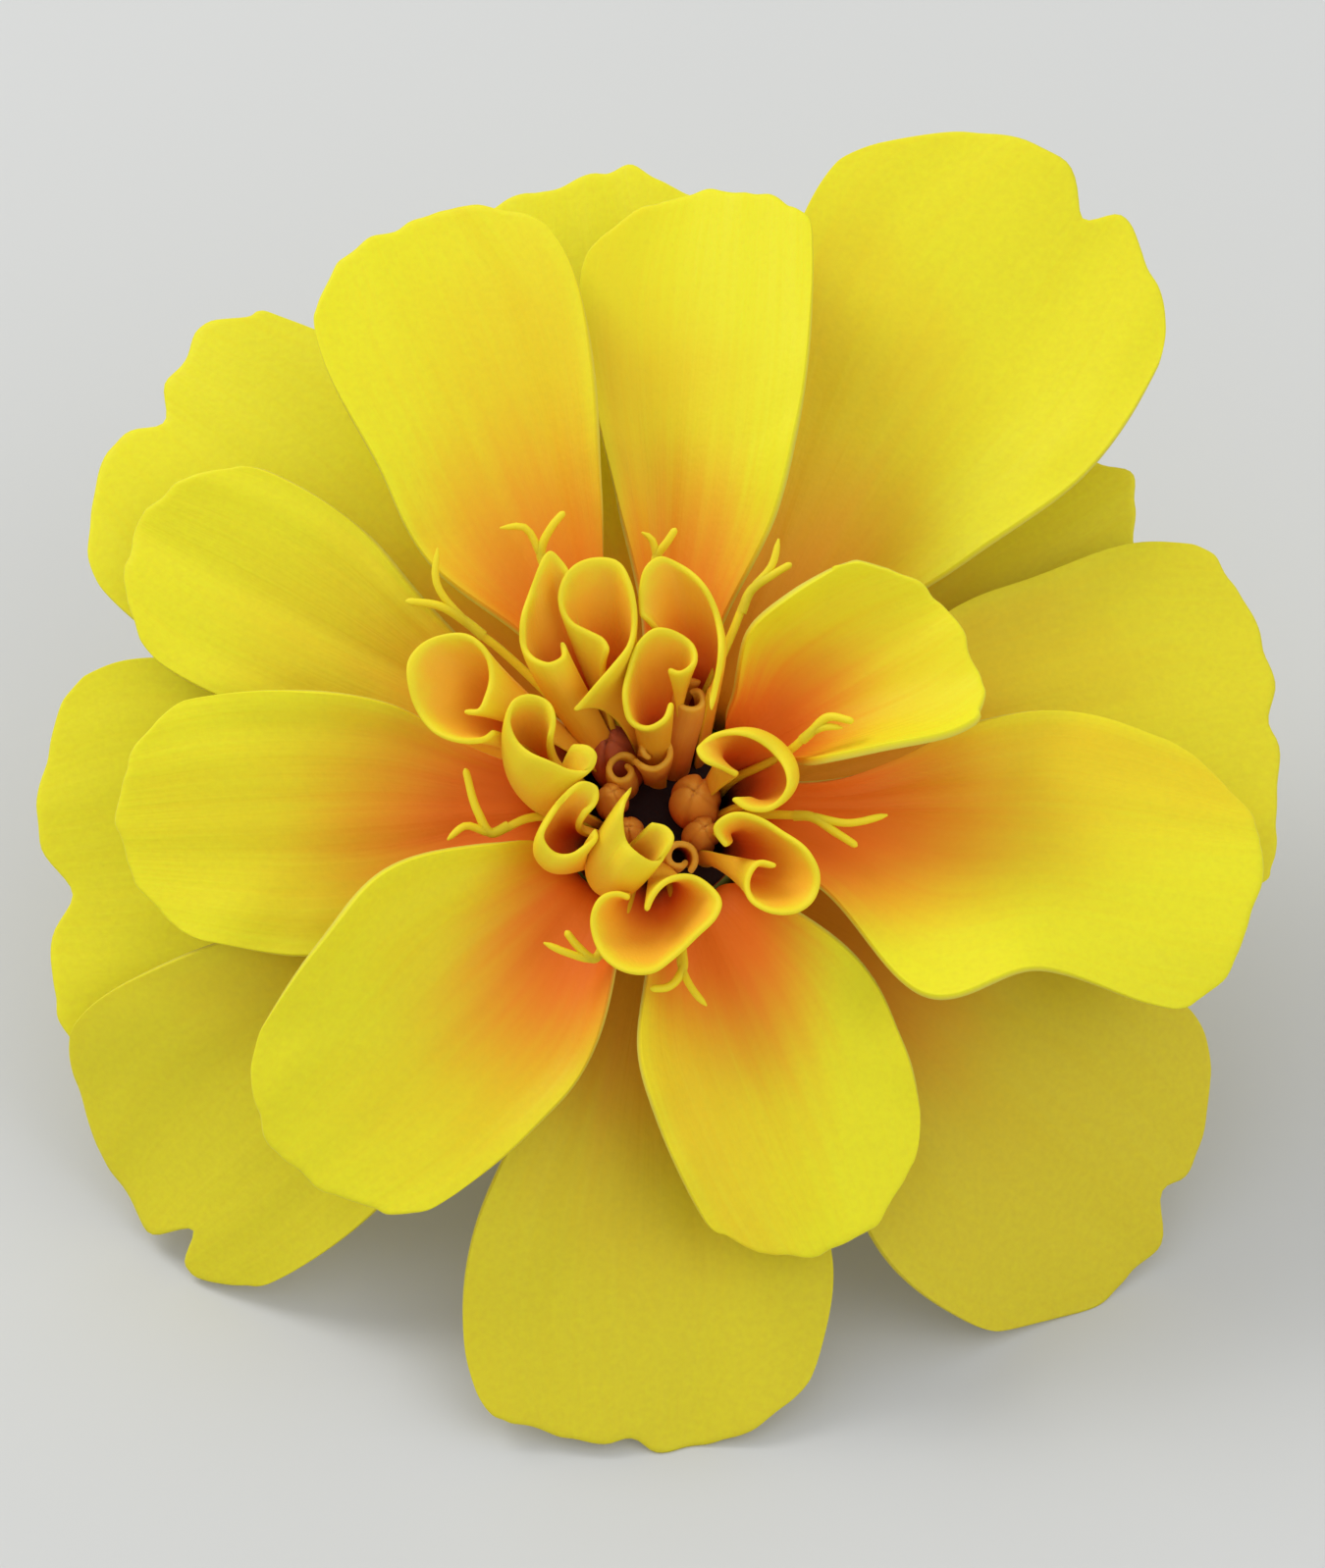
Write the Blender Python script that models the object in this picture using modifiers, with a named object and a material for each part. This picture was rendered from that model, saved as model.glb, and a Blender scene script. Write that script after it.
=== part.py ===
"""French marigold flower head, picked with a short stem, lying on its lower petals and the cut end.

Drawn in millimetres in the head's own frame: the flower axis is +Z, the petals leave the cup at
Z = 0 and the top petal points along +Y. The finished head is then leaned onto the table.
"""
import math

import bmesh
import bpy
import numpy as np
from mathutils import Matrix, Quaternion, Vector

MM = 0.001

# How the flower lies on the table.
LEAN = 30.0
CONTACT = 0.12

# Ring of narrow petal bases (claws) between the disc and the cup wall: radius of their roots, height
# where they leave the ring, and the stretch over which they arch outwards.
BLADE = 0.6
CLAW_HALF = 0.7
CLAW_FOOT = -4.7
CLAW_SPREAD = 3.2
OUTER_RING = {"root": 6.1, "exit": -0.2, "arch": 2.0}
INNER_RING = {"root": 5.0, "exit": 1.4, "arch": 3.2}

# Shares of a petal's length at which its half widths are given, the last one past the tip, and
# where its cupping and its roll are full and where its ruffle turns about.
WIDTH_STATIONS = (0.0, 0.2, 0.4, 0.6, 0.8, 1.0, 1.3)
CUP_START = 0.18
ROLL_START = 0.5
RUFFLE_CENTRE = 0.45
RUFFLE_START = 0.45

# Faces of a petal and of a rolled floret. Columns close up round a notch deeper than DEEP_NOTCH.
PETAL_COLUMNS = 10
CLAW_ROWS = 2
LIMB_ROWS = 8
DEEP_NOTCH = 0.6
NOTCH_MARGIN = 3
FLORET_COLUMNS = 14
FLORET_ROWS = 4
PATH_STEPS = 700
CURVE_STEPS = 400

# Disc, cup and stem.
DISC_RADIUS = 4.4
DISC_FOOT = -4.9
DISC_TOP = 0.6
DOME_STEPS = 4
DISC_SEGMENTS = 28
CUP_INNER = 6.75
CUP_WALL = 0.75
CUP_FLOOR = -5.3
CUP_RIM = -2.1
CUP_BOTTOM = -14.0
CUP_FLARE = 4.0
CUP_SEGMENTS = 48
CUP_ROWS = 8
BRACTS = 8
TOOTH = 1.2
RIB = 0.18
STEM_RADIUS = 1.5
STEM_NECK = 2.3
STEM_END = -18.2
STEM_SEGMENTS = 16
STEM_ROWS = 5
SEAT_GAP = 0.3
SEAT_DEPTH = 0.9

# Distances at which points count as one: round a turned body's axis and seam, and in the fused disc.
WELD = 0.001
FUSED_WELD = 0.0001

# Each petal: compass of its midrib (0 along +X, 90 along +Y), length, half widths to its left and
# right at five stations, rounding of the two halves of the tip, notches (angle, depth, width),
# angle of the blade over the disc plane where it leaves the ring and at its tip, cupping of the
# cross-section at base, middle and tip, roll about the midrib, sideways sway and edge ruffle.
OUTER_PETALS = (
    dict(azimuth=96, length=27.1, left=(1.9, 3.8, 5.6, 6.6, 5.6), right=(1.9, 3.8, 5.4, 6.2, 5.2),
         tip=(0.13, 0.13), notches=((15, 0.7, 10), (-24, -0.5, 9)), rise=2, fall=-10,
         cup=(10, 8, -4), roll=-6, ruffle=(0.3, 3, 0)),
    dict(azimuth=56, length=32.9, left=(3.5, 6.6, 9.5, 10.7, 8.4), right=(2.8, 6.0, 8.2, 7.8, 6.2),
         tip=(0.20, 0.20), notches=((-6, 2.1, 8), (-42, 0.5, 20), (42, -0.8, 18)), rise=3, fall=-8,
         cup=(20, 16, -4), roll=-6, ruffle=(0.35, 3, 40)),
    dict(azimuth=36, length=22.9, left=(1.8, 4.2, 5.8, 6.2, 5.6), right=(1.6, 4.2, 5.6, 5.8, 5.0),
         tip=(0.12, 0.16), notches=((6, -1.3, 9), (-28, 0.8, 12)), sink=1.0, rise=-5, fall=-10,
         cup=(4, 4, -4), roll=0, ruffle=(0.2, 3, 0)),
    dict(azimuth=12, length=25.2, left=(3.0, 6.5, 7.6, 8.4, 7.2), right=(3.6, 6.2, 8.0, 9.2, 8.8),
         tip=(0.09, 0.13), notches=((-10, 1.0, 7), (-42, 0.9, 20)), sink=0.1, rise=1, fall=-9,
         cup=(8, 8, -4), roll=-1, ruffle=(0.3, 3, 90)),
    dict(azimuth=321, length=27.0, left=(4.0, 7.0, 9.0, 9.2, 7.6), right=(3.8, 7.2, 9.7, 9.1, 6.6),
         tip=(0.24, 0.17), notches=((13, 1.6, 7), (34, 0.5, 18), (-40, -0.7, 16)),
         sink=0.5, rise=-2, fall=-28.7, cup=(6, 6, -6), roll=-5, ruffle=(0.3, 4, 0)),
    dict(azimuth=268.5, length=25.2, left=(3.2, 6.2, 8.8, 8.4, 6.4), right=(3.4, 6.0, 8.0, 8.2, 6.6),
         tip=(0.16, 0.11), notches=((-2, 0.8, 8), (-32, 0.6, 22)), rise=2, fall=-15.0,
         cup=(12, 8, -6), roll=-3, ruffle=(0.3, 3, 20)),
    dict(azimuth=218, length=27.7, left=(3.4, 5.6, 6.6, 6.2, 4.8), right=(4.4, 6.4, 8.6, 9.6, 7.6),
         tip=(0.14, 0.18), notches=((15, 2.7, 7),), sink=-0.2, rise=1.7, fall=-40.0,
         cup=(10, 8, -6), roll=-10, ruffle=(0.35, 3, 0)),
    dict(azimuth=183, length=24.7, left=(4.6, 6.6, 8.2, 9.4, 8.8), right=(4.8, 6.8, 8.6, 9.3, 7.8),
         tip=(0.05, 0.12), notches=((11, 1.8, 9),), sink=0.9, rise=-3, fall=-17,
         cup=(0, 2, -4), roll=-7.3, ruffle=(0.35, 3, 0)),
    dict(azimuth=140, length=27.0, left=(5.0, 6.6, 8.4, 8.6, 6.9), right=(3.4, 6.0, 7.6, 8.2, 7.0),
         tip=(0.18, 0.05), notches=((2, 1.7, 8), (-42, -0.9, 14)), rise=2, fall=-11,
         cup=(8, 6, -4), roll=3.2, ruffle=(0.35, 3, 0)),
)
INNER_PETALS = (
    dict(azimuth=355, length=25.0, left=(1.8, 4.2, 5.9, 4.9, 3.4), right=(4.4, 9.4, 7.3, 7.9, 8.0),
         tip=(0.20, 0.16), notches=(), rise=9, fall=-8,
         cup=(50, 22, -8), roll=-5, ruffle=(0.5, 4, 60)),
    dict(azimuth=292, length=19.1, left=(4.0, 6.1, 6.3, 5.7, 4.6), right=(3.6, 5.6, 5.9, 5.4, 4.4),
         tip=(0.24, 0.18), notches=((-62, 0.5, 9),), sink=0.15, rise=7, fall=-10,
         cup=(46, 24, 0), roll=-6, ruffle=(0.25, 3, 0)),
    dict(azimuth=230, length=20.7, left=(4.2, 6.2, 6.5, 6.1, 5.2), right=(5.0, 7.4, 7.0, 5.8, 4.4),
         tip=(0.13, 0.20), notches=(), sink=-0.5, rise=11, fall=-8,
         cup=(50, 28, 0), roll=-12, sway=-1.6, ruffle=(0.25, 3, 0)),
    dict(azimuth=182.5, length=21.6, left=(3.4, 6.2, 6.7, 5.8, 4.6), right=(2.6, 5.0, 5.8, 5.7, 4.8),
         tip=(0.18, 0.18), notches=(), rise=6, fall=-7,
         cup=(36, 14, -2), roll=-11, ruffle=(0.25, 3, 0)),
    dict(azimuth=151, length=24.4, left=(2.4, 4.2, 5.2, 5.4, 4.4), right=(1.6, 3.0, 4.8, 5.1, 4.1),
         tip=(0.18, 0.18), notches=(), sink=0.7, rise=4, fall=-3,
         cup=(30, 16, 0), roll=-12, ruffle=(0.25, 3, 0)),
    dict(azimuth=114, length=26.9, left=(2.4, 5.3, 5.6, 5.8, 4.8), right=(1.7, 3.8, 5.9, 6.8, 5.6),
         tip=(0.14, 0.15), notches=((2, 0.6, 7),), sink=-0.3, rise=12, fall=-4,
         cup=(45, 30, 6), roll=-8, ruffle=(0.25, 3, 0)),
    dict(azimuth=84, length=26.3, left=(1.6, 3.4, 5.2, 6.2, 4.8), right=(2.6, 4.8, 5.4, 5.1, 4.5),
         tip=(0.16, 0.08), notches=(), rise=9, fall=-5,
         cup=(45, 30, 4), roll=-7, ruffle=(0.25, 3, 0)),
    dict(azimuth=29, length=13.4, left=(2.6, 5.2, 5.6, 5.0, 4.0), right=(1.5, 3.8, 5.4, 6.0, 5.4),
         tip=(0.26, 0.12), notches=(), rise=30, fall=10,
         cup=(60, 70, 40), roll=-6, ruffle=(0.25, 3, 0)),
)

# Each rolled floret: foot on the disc, where its belly leans out to and the belly's radius, height
# of the mouth, slope of the mouth along X and Y, and the mouth's edge from margin to margin.
ROLLED_FLORETS = (
    dict(foot=(-1.9, 2.2), belly=(-4.9, 5.5, 7.2), radius=1.35, height=9.4, slope=(0.0, 0.12),
         mouth=((-3.9, 9.5), (-4.3, 10.2), (-4.8, 10.6), (-5.3, 9.8), (-5.8, 8.5), (-6.1, 7.3),
                (-6.1, 6.4), (-5.6, 5.6), (-4.9, 5.3), (-4.2, 5.8), (-4.3, 6.5))),
    dict(foot=(-0.9, 2.6), belly=(-2.2, 5.6, 6.2), radius=1.2, height=9.2, slope=(0.0, 0.06),
         mouth=((-3.8, 3.2), (-3.0, 4.0), (-1.9, 5.2), (-1.1, 6.4), (-0.9, 7.8), (-1.2, 9.3),
                (-1.7, 10.2), (-2.7, 10.4), (-3.7, 10.0), (-4.3, 9.1), (-4.4, 8.3), (-3.9, 7.4),
                (-3.0, 6.9), (-2.3, 6.5), (-2.1, 6.0))),
    dict(foot=(1.7, 2.8), belly=(2.45, 7.4, 7.15), radius=1.2, height=9.2, slope=(0.0, 0.05),
         mouth=((-0.65, 7.65), (-0.75, 8.2), (-0.7, 9.1), (-0.4, 9.9), (0.3, 10.4), (1.1, 10.1),
                (2.0, 9.3), (2.7, 8.1), (3.0, 6.7), (3.0, 5.4), (2.8, 4.2), (2.6, 3.1))),
    dict(foot=(0.2, 1.9), belly=(0.25, 4.0, 5.7), radius=1.1, height=8.8, slope=(0.0, 0.1),
         mouth=((0.8, 3.7), (0.5, 2.8), (-0.3, 2.4), (-1.1, 2.7), (-1.4, 3.7), (-1.2, 5.1),
                (-0.7, 6.4), (0.1, 7.0), (1.0, 6.9), (1.8, 6.3), (1.9, 5.5), (1.2, 5.0),
                (0.6, 5.3))),
    dict(foot=(-2.5, 1.4), belly=(-7.2, 3.7, 6.6), radius=1.0, height=9.0, slope=(0.0, 0.0),
         mouth=((-8.9, 3.1), (-8.2, 3.1), (-7.8, 3.9), (-7.6, 4.8), (-7.9, 6.0), (-8.7, 6.7),
                (-9.6, 6.8), (-10.6, 6.5), (-11.4, 5.5), (-11.4, 4.3), (-10.9, 3.0), (-10.0, 2.0),
                (-8.8, 1.6), (-7.9, 1.8), (-7.4, 2.3))),
    dict(foot=(-2.8, 0.1), belly=(-7.0, -0.3, 5.2), radius=1.7, height=9.4, slope=(0.0, 0.1),
         mouth=((-4.8, 1.9), (-4.6, 2.7), (-4.9, 3.5), (-5.8, 3.8), (-6.4, 3.5), (-6.7, 2.7),
                (-6.4, 1.8), (-5.7, 1.1), (-4.6, 0.6), (-3.6, 0.3), (-2.8, 0.4), (-2.6, 0.9),
                (-3.0, 1.4), (-3.8, 1.6))),
    dict(foot=(-2.3, -1.7), belly=(-5.5, -3.9, 7.2), radius=1.3, height=8.8, slope=(0.0, 0.1),
         mouth=((-3.2, -1.5), (-2.6, -1.0), (-2.6, -0.4), (-3.1, -0.2), (-3.9, -0.7), (-4.7, -1.7),
                (-5.1, -2.8), (-4.6, -3.4), (-3.8, -3.5), (-3.0, -3.1), (-2.6, -2.6), (-2.7, -2.2))),
    dict(foot=(-1.3, -2.5), belly=(-3.4, -5.5, 5.7), radius=1.5, height=8.9, slope=(0.0, 0.3),
         mouth=((-1.0, -0.4), (-1.3, -1.1), (-1.4, -2.1), (-1.2, -3.0), (-0.6, -3.6), (0.1, -3.8),
                (0.7, -3.3), (0.9, -2.7), (0.5, -2.2), (-0.1, -2.1))),
    dict(foot=(0.0, -2.9), belly=(0.0, -5.8, 6.0), radius=1.3, height=8.4, slope=(0.0, 0.0),
         mouth=((-1.1, -5.5), (-1.6, -5.3), (-2.4, -5.5), (-2.9, -6.4), (-2.8, -7.4), (-2.2, -8.5),
                (-1.2, -9.1), (-0.2, -9.1), (0.9, -8.3), (1.9, -7.4), (2.9, -6.4), (3.1, -5.8),
                (2.5, -4.9), (1.8, -4.5), (0.7, -4.7), (-0.1, -5.5), (-0.4, -6.2))),
    dict(foot=(2.4, -1.7), belly=(4.8, -3.4, 6.0), radius=1.1, height=8.6, slope=(0.0, 0.0),
         mouth=((3.3, -3.1), (2.7, -2.3), (3.5, -1.7), (4.7, -1.8), (5.9, -2.5), (7.1, -3.5),
                (7.6, -4.6), (7.3, -5.7), (6.5, -6.3), (5.3, -6.3), (4.4, -5.6), (4.3, -4.7),
                (4.9, -3.9), (5.7, -4.1))),
    dict(foot=(2.5, 0.3), belly=(6.1, 1.4, 7.2), radius=2.0, height=8.6, slope=(0.0, 0.0),
         mouth=((3.8, 0.3), (3.0, 0.5), (2.2, 0.8), (1.9, 1.4), (2.4, 1.9), (3.4, 2.1), (4.4, 1.9),
                (5.4, 1.3), (6.0, 0.4), (6.1, -0.5), (5.6, -1.2), (4.9, -1.5), (4.1, -1.4),
                (3.5, -0.9))),
)
FOOT_RADIUS = 0.62
FOOT_SINK = 1.0
FOOT_SWEEP = 300.0
NECK_HEIGHT = 3.8

# How far the rings of a floret turn with its lean, as shares of the whole turn.
NECK_TILT = 0.3
BELLY_TILT = 0.7

# Buds in the well of the disc: place and height of the top, and radius.
BUDS = (
    (-2.2, 2.8, 4.6, 1.3), (-0.05, 2.1, 5.2, 1.0), (1.75, 4.45, 6.2, 0.9), (1.9, 0.25, 4.8, 1.25),
    (1.2, -2.8, 4.2, 0.8), (-2.7, 4.5, 5.0, 0.65), (-1.5, 1.4, 4.2, 0.8), (-2.0, 0.3, 4.4, 0.8),
    (2.3, -1.4, 4.4, 0.9), (-1.2, -1.2, 3.6, 0.8),
)
BUD_FOOT = 2.4
BUD_SINK = 1.0
BUD_DETAIL = 2

# Forked styles: the bare stalk with its first tip, and the branch from the fork to the second tip.
STYLES = (
    (((-7.2, 6.8, 5.6), (-8.8, 8.0, 6.2), (-10.2, 9.8, 7.2), (-10.1, 11.2, 7.6)),
     ((-8.8, 8.0, 6.2), (-10.0, 8.6, 6.8), (-11.6, 8.8, 7.0))),
    (((-4.2, 9.0, 6.2), (-5.3, 11.0, 7.0), (-6.1, 12.2, 7.6), (-7.2, 12.1, 7.8)),
     ((-5.3, 11.0, 7.0), (-4.8, 12.2, 7.6), (-4.2, 12.9, 7.8))),
    (((0.2, 8.0, 5.8), (0.1, 11.0, 6.8), (-0.2, 11.8, 7.2), (-0.6, 12.0, 7.4)),
     ((0.1, 11.0, 6.8), (0.6, 11.6, 7.2), (1.0, 12.2, 7.4))),
    (((3.6, 7.4, 6.2), (4.5, 9.4, 6.6), (5.5, 10.6, 6.8), (5.8, 11.8, 7.0)),
     ((4.5, 9.4, 6.6), (5.5, 10.1, 6.8), (6.4, 10.6, 7.0))),
    (((6.5, 1.9, 6.8), (7.2, 2.4, 7.4), (8.0, 2.6, 7.9), (8.7, 2.5, 8.1)),
     ((7.2, 2.4, 7.4), (8.0, 3.0, 8.1), (9.2, 2.7, 8.6))),
    (((5.8, -1.0, 5.2), (7.2, -1.2, 5.8), (9.0, -1.6, 6.2), (10.8, -1.3, 6.6)),
     ((7.2, -1.2, 5.8), (8.4, -2.0, 6.0), (9.4, -2.7, 6.2))),
    (((-6.0, -1.2, 5.2), (-7.6, -1.9, 5.4), (-8.8, -1.7, 6.0), (-9.6, -2.4, 6.2)),
     ((-7.6, -1.9, 5.4), (-8.2, -1.0, 5.8), (-8.8, 1.0, 6.2))),
    (((-1.6, -6.2, 5.8), (-2.8, -8.0, 6.2), (-4.0, -7.8, 6.6), (-5.1, -7.4, 7.0)),
     ((-2.8, -8.0, 6.2), (-3.6, -7.4, 6.5), (-4.1, -6.8, 6.8))),
    (((1.2, -6.4, 5.0), (1.3, -8.4, 5.6), (1.9, -9.6, 6.0), (2.4, -10.2, 6.2)),
     ((1.3, -8.4, 5.6), (0.6, -9.3, 6.0), (-0.2, -9.4, 6.2))),
)
# Radius of a style's foot on the disc, and radius and height of its bend.
STYLE_FOOT = 3.0
STYLE_NECK = (3.8, 3.2)
STYLE_RADIUS = 0.32
STYLE_STEPS = 5

# Colour and roughness of each surface.
PETAL_YELLOW = ((0.75, 0.62, 0.03), 0.7)
FLORET_ORANGE = ((0.72, 0.40, 0.03), 0.7)
BRACT_GREEN = ((0.12, 0.22, 0.05), 0.6)
STEM_GREEN = ((0.18, 0.30, 0.07), 0.6)


def smooth(x):
    """Ease from 0 to 1."""
    x = np.clip(x, 0.0, 1.0)
    return x * x * (3.0 - 2.0 * x)


def through(x, stations, values):
    """A smooth curve through the values at the stations."""
    stations = np.asarray(stations, float)
    values = np.asarray(values, float)
    slopes = np.gradient(values, stations)
    i = np.clip(np.searchsorted(stations, x) - 1, 0, len(stations) - 2)
    step = stations[i + 1] - stations[i]
    f = np.clip((x - stations[i]) / step, 0.0, 1.0)
    start = (1 + 2 * f) * (1 - f) ** 2 * values[i] + f * (1 - f) ** 2 * step * slopes[i]
    end = f * f * (3 - 2 * f) * values[i + 1] + f * f * (f - 1) * step * slopes[i + 1]
    return start + end


def petal_columns(count, notches):
    """Angles across a petal from margin to margin, closed up round its deepest notch."""
    centre, deep, width = max(notches, key=lambda notch: notch[1], default=(0, 0, 0))
    if deep < DEEP_NOTCH:
        return np.linspace(-90.0, 90.0, count + 1)
    near = round(count * (centre - width + 90.0) / (180.0 - 2 * width))
    near = min(max(near, NOTCH_MARGIN), count - NOTCH_MARGIN)
    before = np.linspace(-90.0, centre - width, near)
    after = np.linspace(centre + width, 90.0, count - near)
    return np.concatenate([before, [centre], after])


def running_sum(values):
    """The area gathered under a row of values, by the trapezoid rule."""
    return np.concatenate([[0], np.cumsum((values[1:] + values[:-1]) / 2)])


def petal_grid(petal, ring, columns, claw_rows, limb_rows):
    """Rows of points over a petal, from the foot of its claw to its tip."""
    length = petal["length"]
    depth = ring["exit"] - petal.get("sink", 0.0) - CLAW_FOOT
    angle = np.radians(petal_columns(columns, petal["notches"]))
    across = np.sin(angle)
    left_tip, right_tip = petal["tip"]
    rounding = np.where(across > 0, left_tip, right_tip) * (1 - np.cos(angle))
    notch = np.zeros_like(angle)
    for centre, deep, width in petal["notches"]:
        notch += deep * np.exp(-(((np.degrees(angle) - centre) / width) ** 2))

    claw = -depth * (1 - np.linspace(0, 1, claw_rows + 1)[:-1])
    limb = np.linspace(0, 1, limb_rows + 1)[:, None]
    along = np.concatenate([
        np.repeat(claw[:, None], len(angle), 1),
        length * limb * (1 - rounding * limb ** 3) - notch * limb ** 6,
    ])
    share = np.clip(along / length, 0, 1)
    rows = np.concatenate([np.zeros(claw_rows), limb[:, 0]])[:, None]

    left = (CLAW_HALF,) + petal["left"] + (petal["left"][-1],)
    right = (CLAW_HALF,) + petal["right"] + (petal["right"][-1],)
    full = np.where(across > 0, through(share, WIDTH_STATIONS, left),
                    through(share, WIDTH_STATIONS, right))
    half = CLAW_HALF + (full - CLAW_HALF) * smooth(along / CLAW_SPREAD)
    offset = across * half

    # Midrib: up the claw, over the arch and out along the limb.
    path = np.linspace(-depth, length * 1.05, PATH_STEPS)
    limb_angle = petal["rise"] + (petal["fall"] - petal["rise"]) * smooth(
        (path - ring["arch"]) / (length - ring["arch"]))
    slope = np.where(path < 0, 90.0, 90 + (limb_angle - 90) * smooth(path / ring["arch"]))
    slope = np.radians(slope)
    step = path[1] - path[0]
    out = ring["root"] + running_sum(np.cos(slope)) * step
    up = CLAW_FOOT + running_sum(np.sin(slope)) * step
    rib_out = np.interp(along, path, out)
    rib_up = np.interp(along, path, up)
    rib_slope = np.interp(along, path, slope)

    # Cross-section: an arc that follows the ring at the claw and opens out along the limb.
    base, middle, end = petal["cup"]
    cup = np.where(share < 0.5, base + (middle - base) * smooth(share * 2),
                   middle + (end - middle) * smooth(share * 2 - 1))
    ring_bend = math.degrees(CLAW_HALF / ring["root"])
    cup = ring_bend + (cup - ring_bend) * smooth(along / (CUP_START * length))
    bend = np.radians(cup) / half
    bend = np.where(np.abs(bend) < 1e-6, 1e-6, bend)
    side = np.sin(bend * offset) / bend
    lift = (1 - np.cos(bend * offset)) / bend

    # Ruffled margin.
    swing, waves, phase = petal["ruffle"]
    round_tip = np.arctan2(offset, along - RUFFLE_CENTRE * length)
    margin = 1 - (1 - np.abs(across) ** 3) * (1 - rows ** 5)
    wave = np.sin(waves * round_tip + math.radians(phase))
    lift = lift + swing * margin * smooth(share / RUFFLE_START) * wave

    roll = np.radians(petal["roll"]) * smooth(along / (ROLL_START * length))
    turned_side = side * np.cos(roll) - lift * np.sin(roll) + petal.get("sway", 0.0) * share ** 2
    turned_lift = side * np.sin(roll) + lift * np.cos(roll)

    azimuth = math.radians(petal["azimuth"])
    outward = np.array([math.cos(azimuth), math.sin(azimuth), 0.0])
    leftward = np.array([-math.sin(azimuth), math.cos(azimuth), 0.0])
    upward = np.array([0.0, 0.0, 1.0])
    return ((rib_out - turned_lift * np.sin(rib_slope))[..., None] * outward
            + (rib_up + turned_lift * np.cos(rib_slope))[..., None] * upward
            + turned_side[..., None] * leftward)


def resample(points, count):
    """Evenly spaced points along a smooth curve through the given ones."""
    points = np.asarray(points, float)
    spans = np.concatenate([[0], np.cumsum(np.linalg.norm(np.diff(points, axis=0), axis=1))])
    fine = np.linspace(0, spans[-1], CURVE_STEPS)
    curve = np.stack([through(fine, spans, points[:, k]) for k in range(points.shape[1])], 1)
    run = np.concatenate([[0], np.cumsum(np.linalg.norm(np.diff(curve, axis=0), axis=1))])
    at = np.linspace(0, run[-1], count)
    return np.stack([np.interp(at, run, curve[:, k]) for k in range(points.shape[1])], 1)


def tilted(circle, turn, share):
    """A ring of directions turned by a share of a rotation."""
    part = Quaternion().slerp(turn, share).to_matrix()
    return circle @ np.array(part).T


def floret_grid(floret, columns, rows):
    """Rows of points over a rolled floret, from its foot on the disc to its mouth."""
    edge = resample(floret["mouth"], columns + 1)
    centre = edge.mean(0)
    lean = np.asarray(floret["slope"])
    height = floret["height"] + (edge - centre) @ lean
    mouth = np.column_stack([edge, height])

    gap = (edge[0] + edge[-1]) / 2 - centre
    turn = edge - centre
    area = np.sum(turn[:-1, 0] * turn[1:, 1] - turn[1:, 0] * turn[:-1, 1])
    sense = 1.0 if area > 0 else -1.0
    start = math.degrees(math.atan2(gap[1], gap[0])) + sense * (360.0 - FOOT_SWEEP) / 2
    angle = np.radians(start + sense * np.linspace(0, FOOT_SWEEP, columns + 1))
    circle = np.column_stack([np.cos(angle), np.sin(angle), np.zeros_like(angle)])
    foot = np.array([*floret["foot"], -FOOT_SINK]) + FOOT_RADIUS * circle
    neck = np.array([*floret["foot"], NECK_HEIGHT])
    turn = Vector((0, 0, 1)).rotation_difference(Vector(mouth.mean(0) - neck))
    neck = neck + FOOT_RADIUS * tilted(circle, turn, NECK_TILT)
    belly = np.asarray(floret["belly"]) + floret["radius"] * tilted(circle, turn, BELLY_TILT)

    v = np.linspace(0, 1, rows + 1)[:, None, None]
    lower = (1 - v) ** 3 * foot + 3 * v * (1 - v) ** 2 * neck
    return lower + 3 * v ** 2 * (1 - v) * belly + v ** 3 * mouth


def material(name, colour, roughness):
    """A plain coloured surface."""
    made = bpy.data.materials.new(name)
    made.use_nodes = True
    shader = made.node_tree.nodes["Principled BSDF"]
    shader.inputs["Base Color"].default_value = (*colour, 1.0)
    shader.inputs["Roughness"].default_value = roughness
    return made


def finish_mesh(bm, name, surface, collection):
    """Make a smooth shaded object of a bmesh."""
    mesh = bpy.data.meshes.new(name)
    bm.to_mesh(mesh)
    bm.free()
    mesh.materials.append(surface)
    for polygon in mesh.polygons:
        polygon.use_smooth = True
    made = bpy.data.objects.new(name, mesh)
    collection.objects.link(made)
    return made


def apply_modifiers(piece):
    """Bake an object's modifiers into its mesh."""
    with bpy.context.temp_override(object=piece, active_object=piece, selected_objects=[piece]):
        for modifier in list(piece.modifiers):
            bpy.ops.object.modifier_apply(modifier=modifier.name)


def blade(name, points, surface, collection):
    """A thin closed blade over a grid of points."""
    rows, columns = points.shape[0] - 1, points.shape[1] - 1
    bm = bmesh.new()
    bmesh.ops.create_grid(bm, x_segments=columns, y_segments=rows, size=1.0)
    for vertex in bm.verts:
        i = round((vertex.co.x + 1) / 2 * columns)
        j = round((vertex.co.y + 1) / 2 * rows)
        vertex.co = Vector(points[j, i]) * MM
    bmesh.ops.triangulate(bm, faces=bm.faces[:], quad_method="SHORT_EDGE")
    made = finish_mesh(bm, name, surface, collection)
    solid = made.modifiers.new("blade", "SOLIDIFY")
    solid.thickness = BLADE * MM
    solid.offset = 0.0
    apply_modifiers(made)
    return made


def turned(name, profile, segments, surface, collection):
    """A body of revolution about +Z from (radius, height) pairs that start and end on the axis."""
    bm = bmesh.new()
    points = [bm.verts.new((r * MM, 0.0, z * MM)) for r, z in profile]
    for a, b in zip(points, points[1:]):
        bm.edges.new((a, b))
    made = finish_mesh(bm, name, surface, collection)
    screw = made.modifiers.new("turn", "SCREW")
    screw.steps = segments
    screw.render_steps = segments
    screw.use_merge_vertices = True
    screw.merge_threshold = WELD * MM
    screw.use_normal_calculate = True
    apply_modifiers(made)
    face_outwards(made)
    return made


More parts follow.
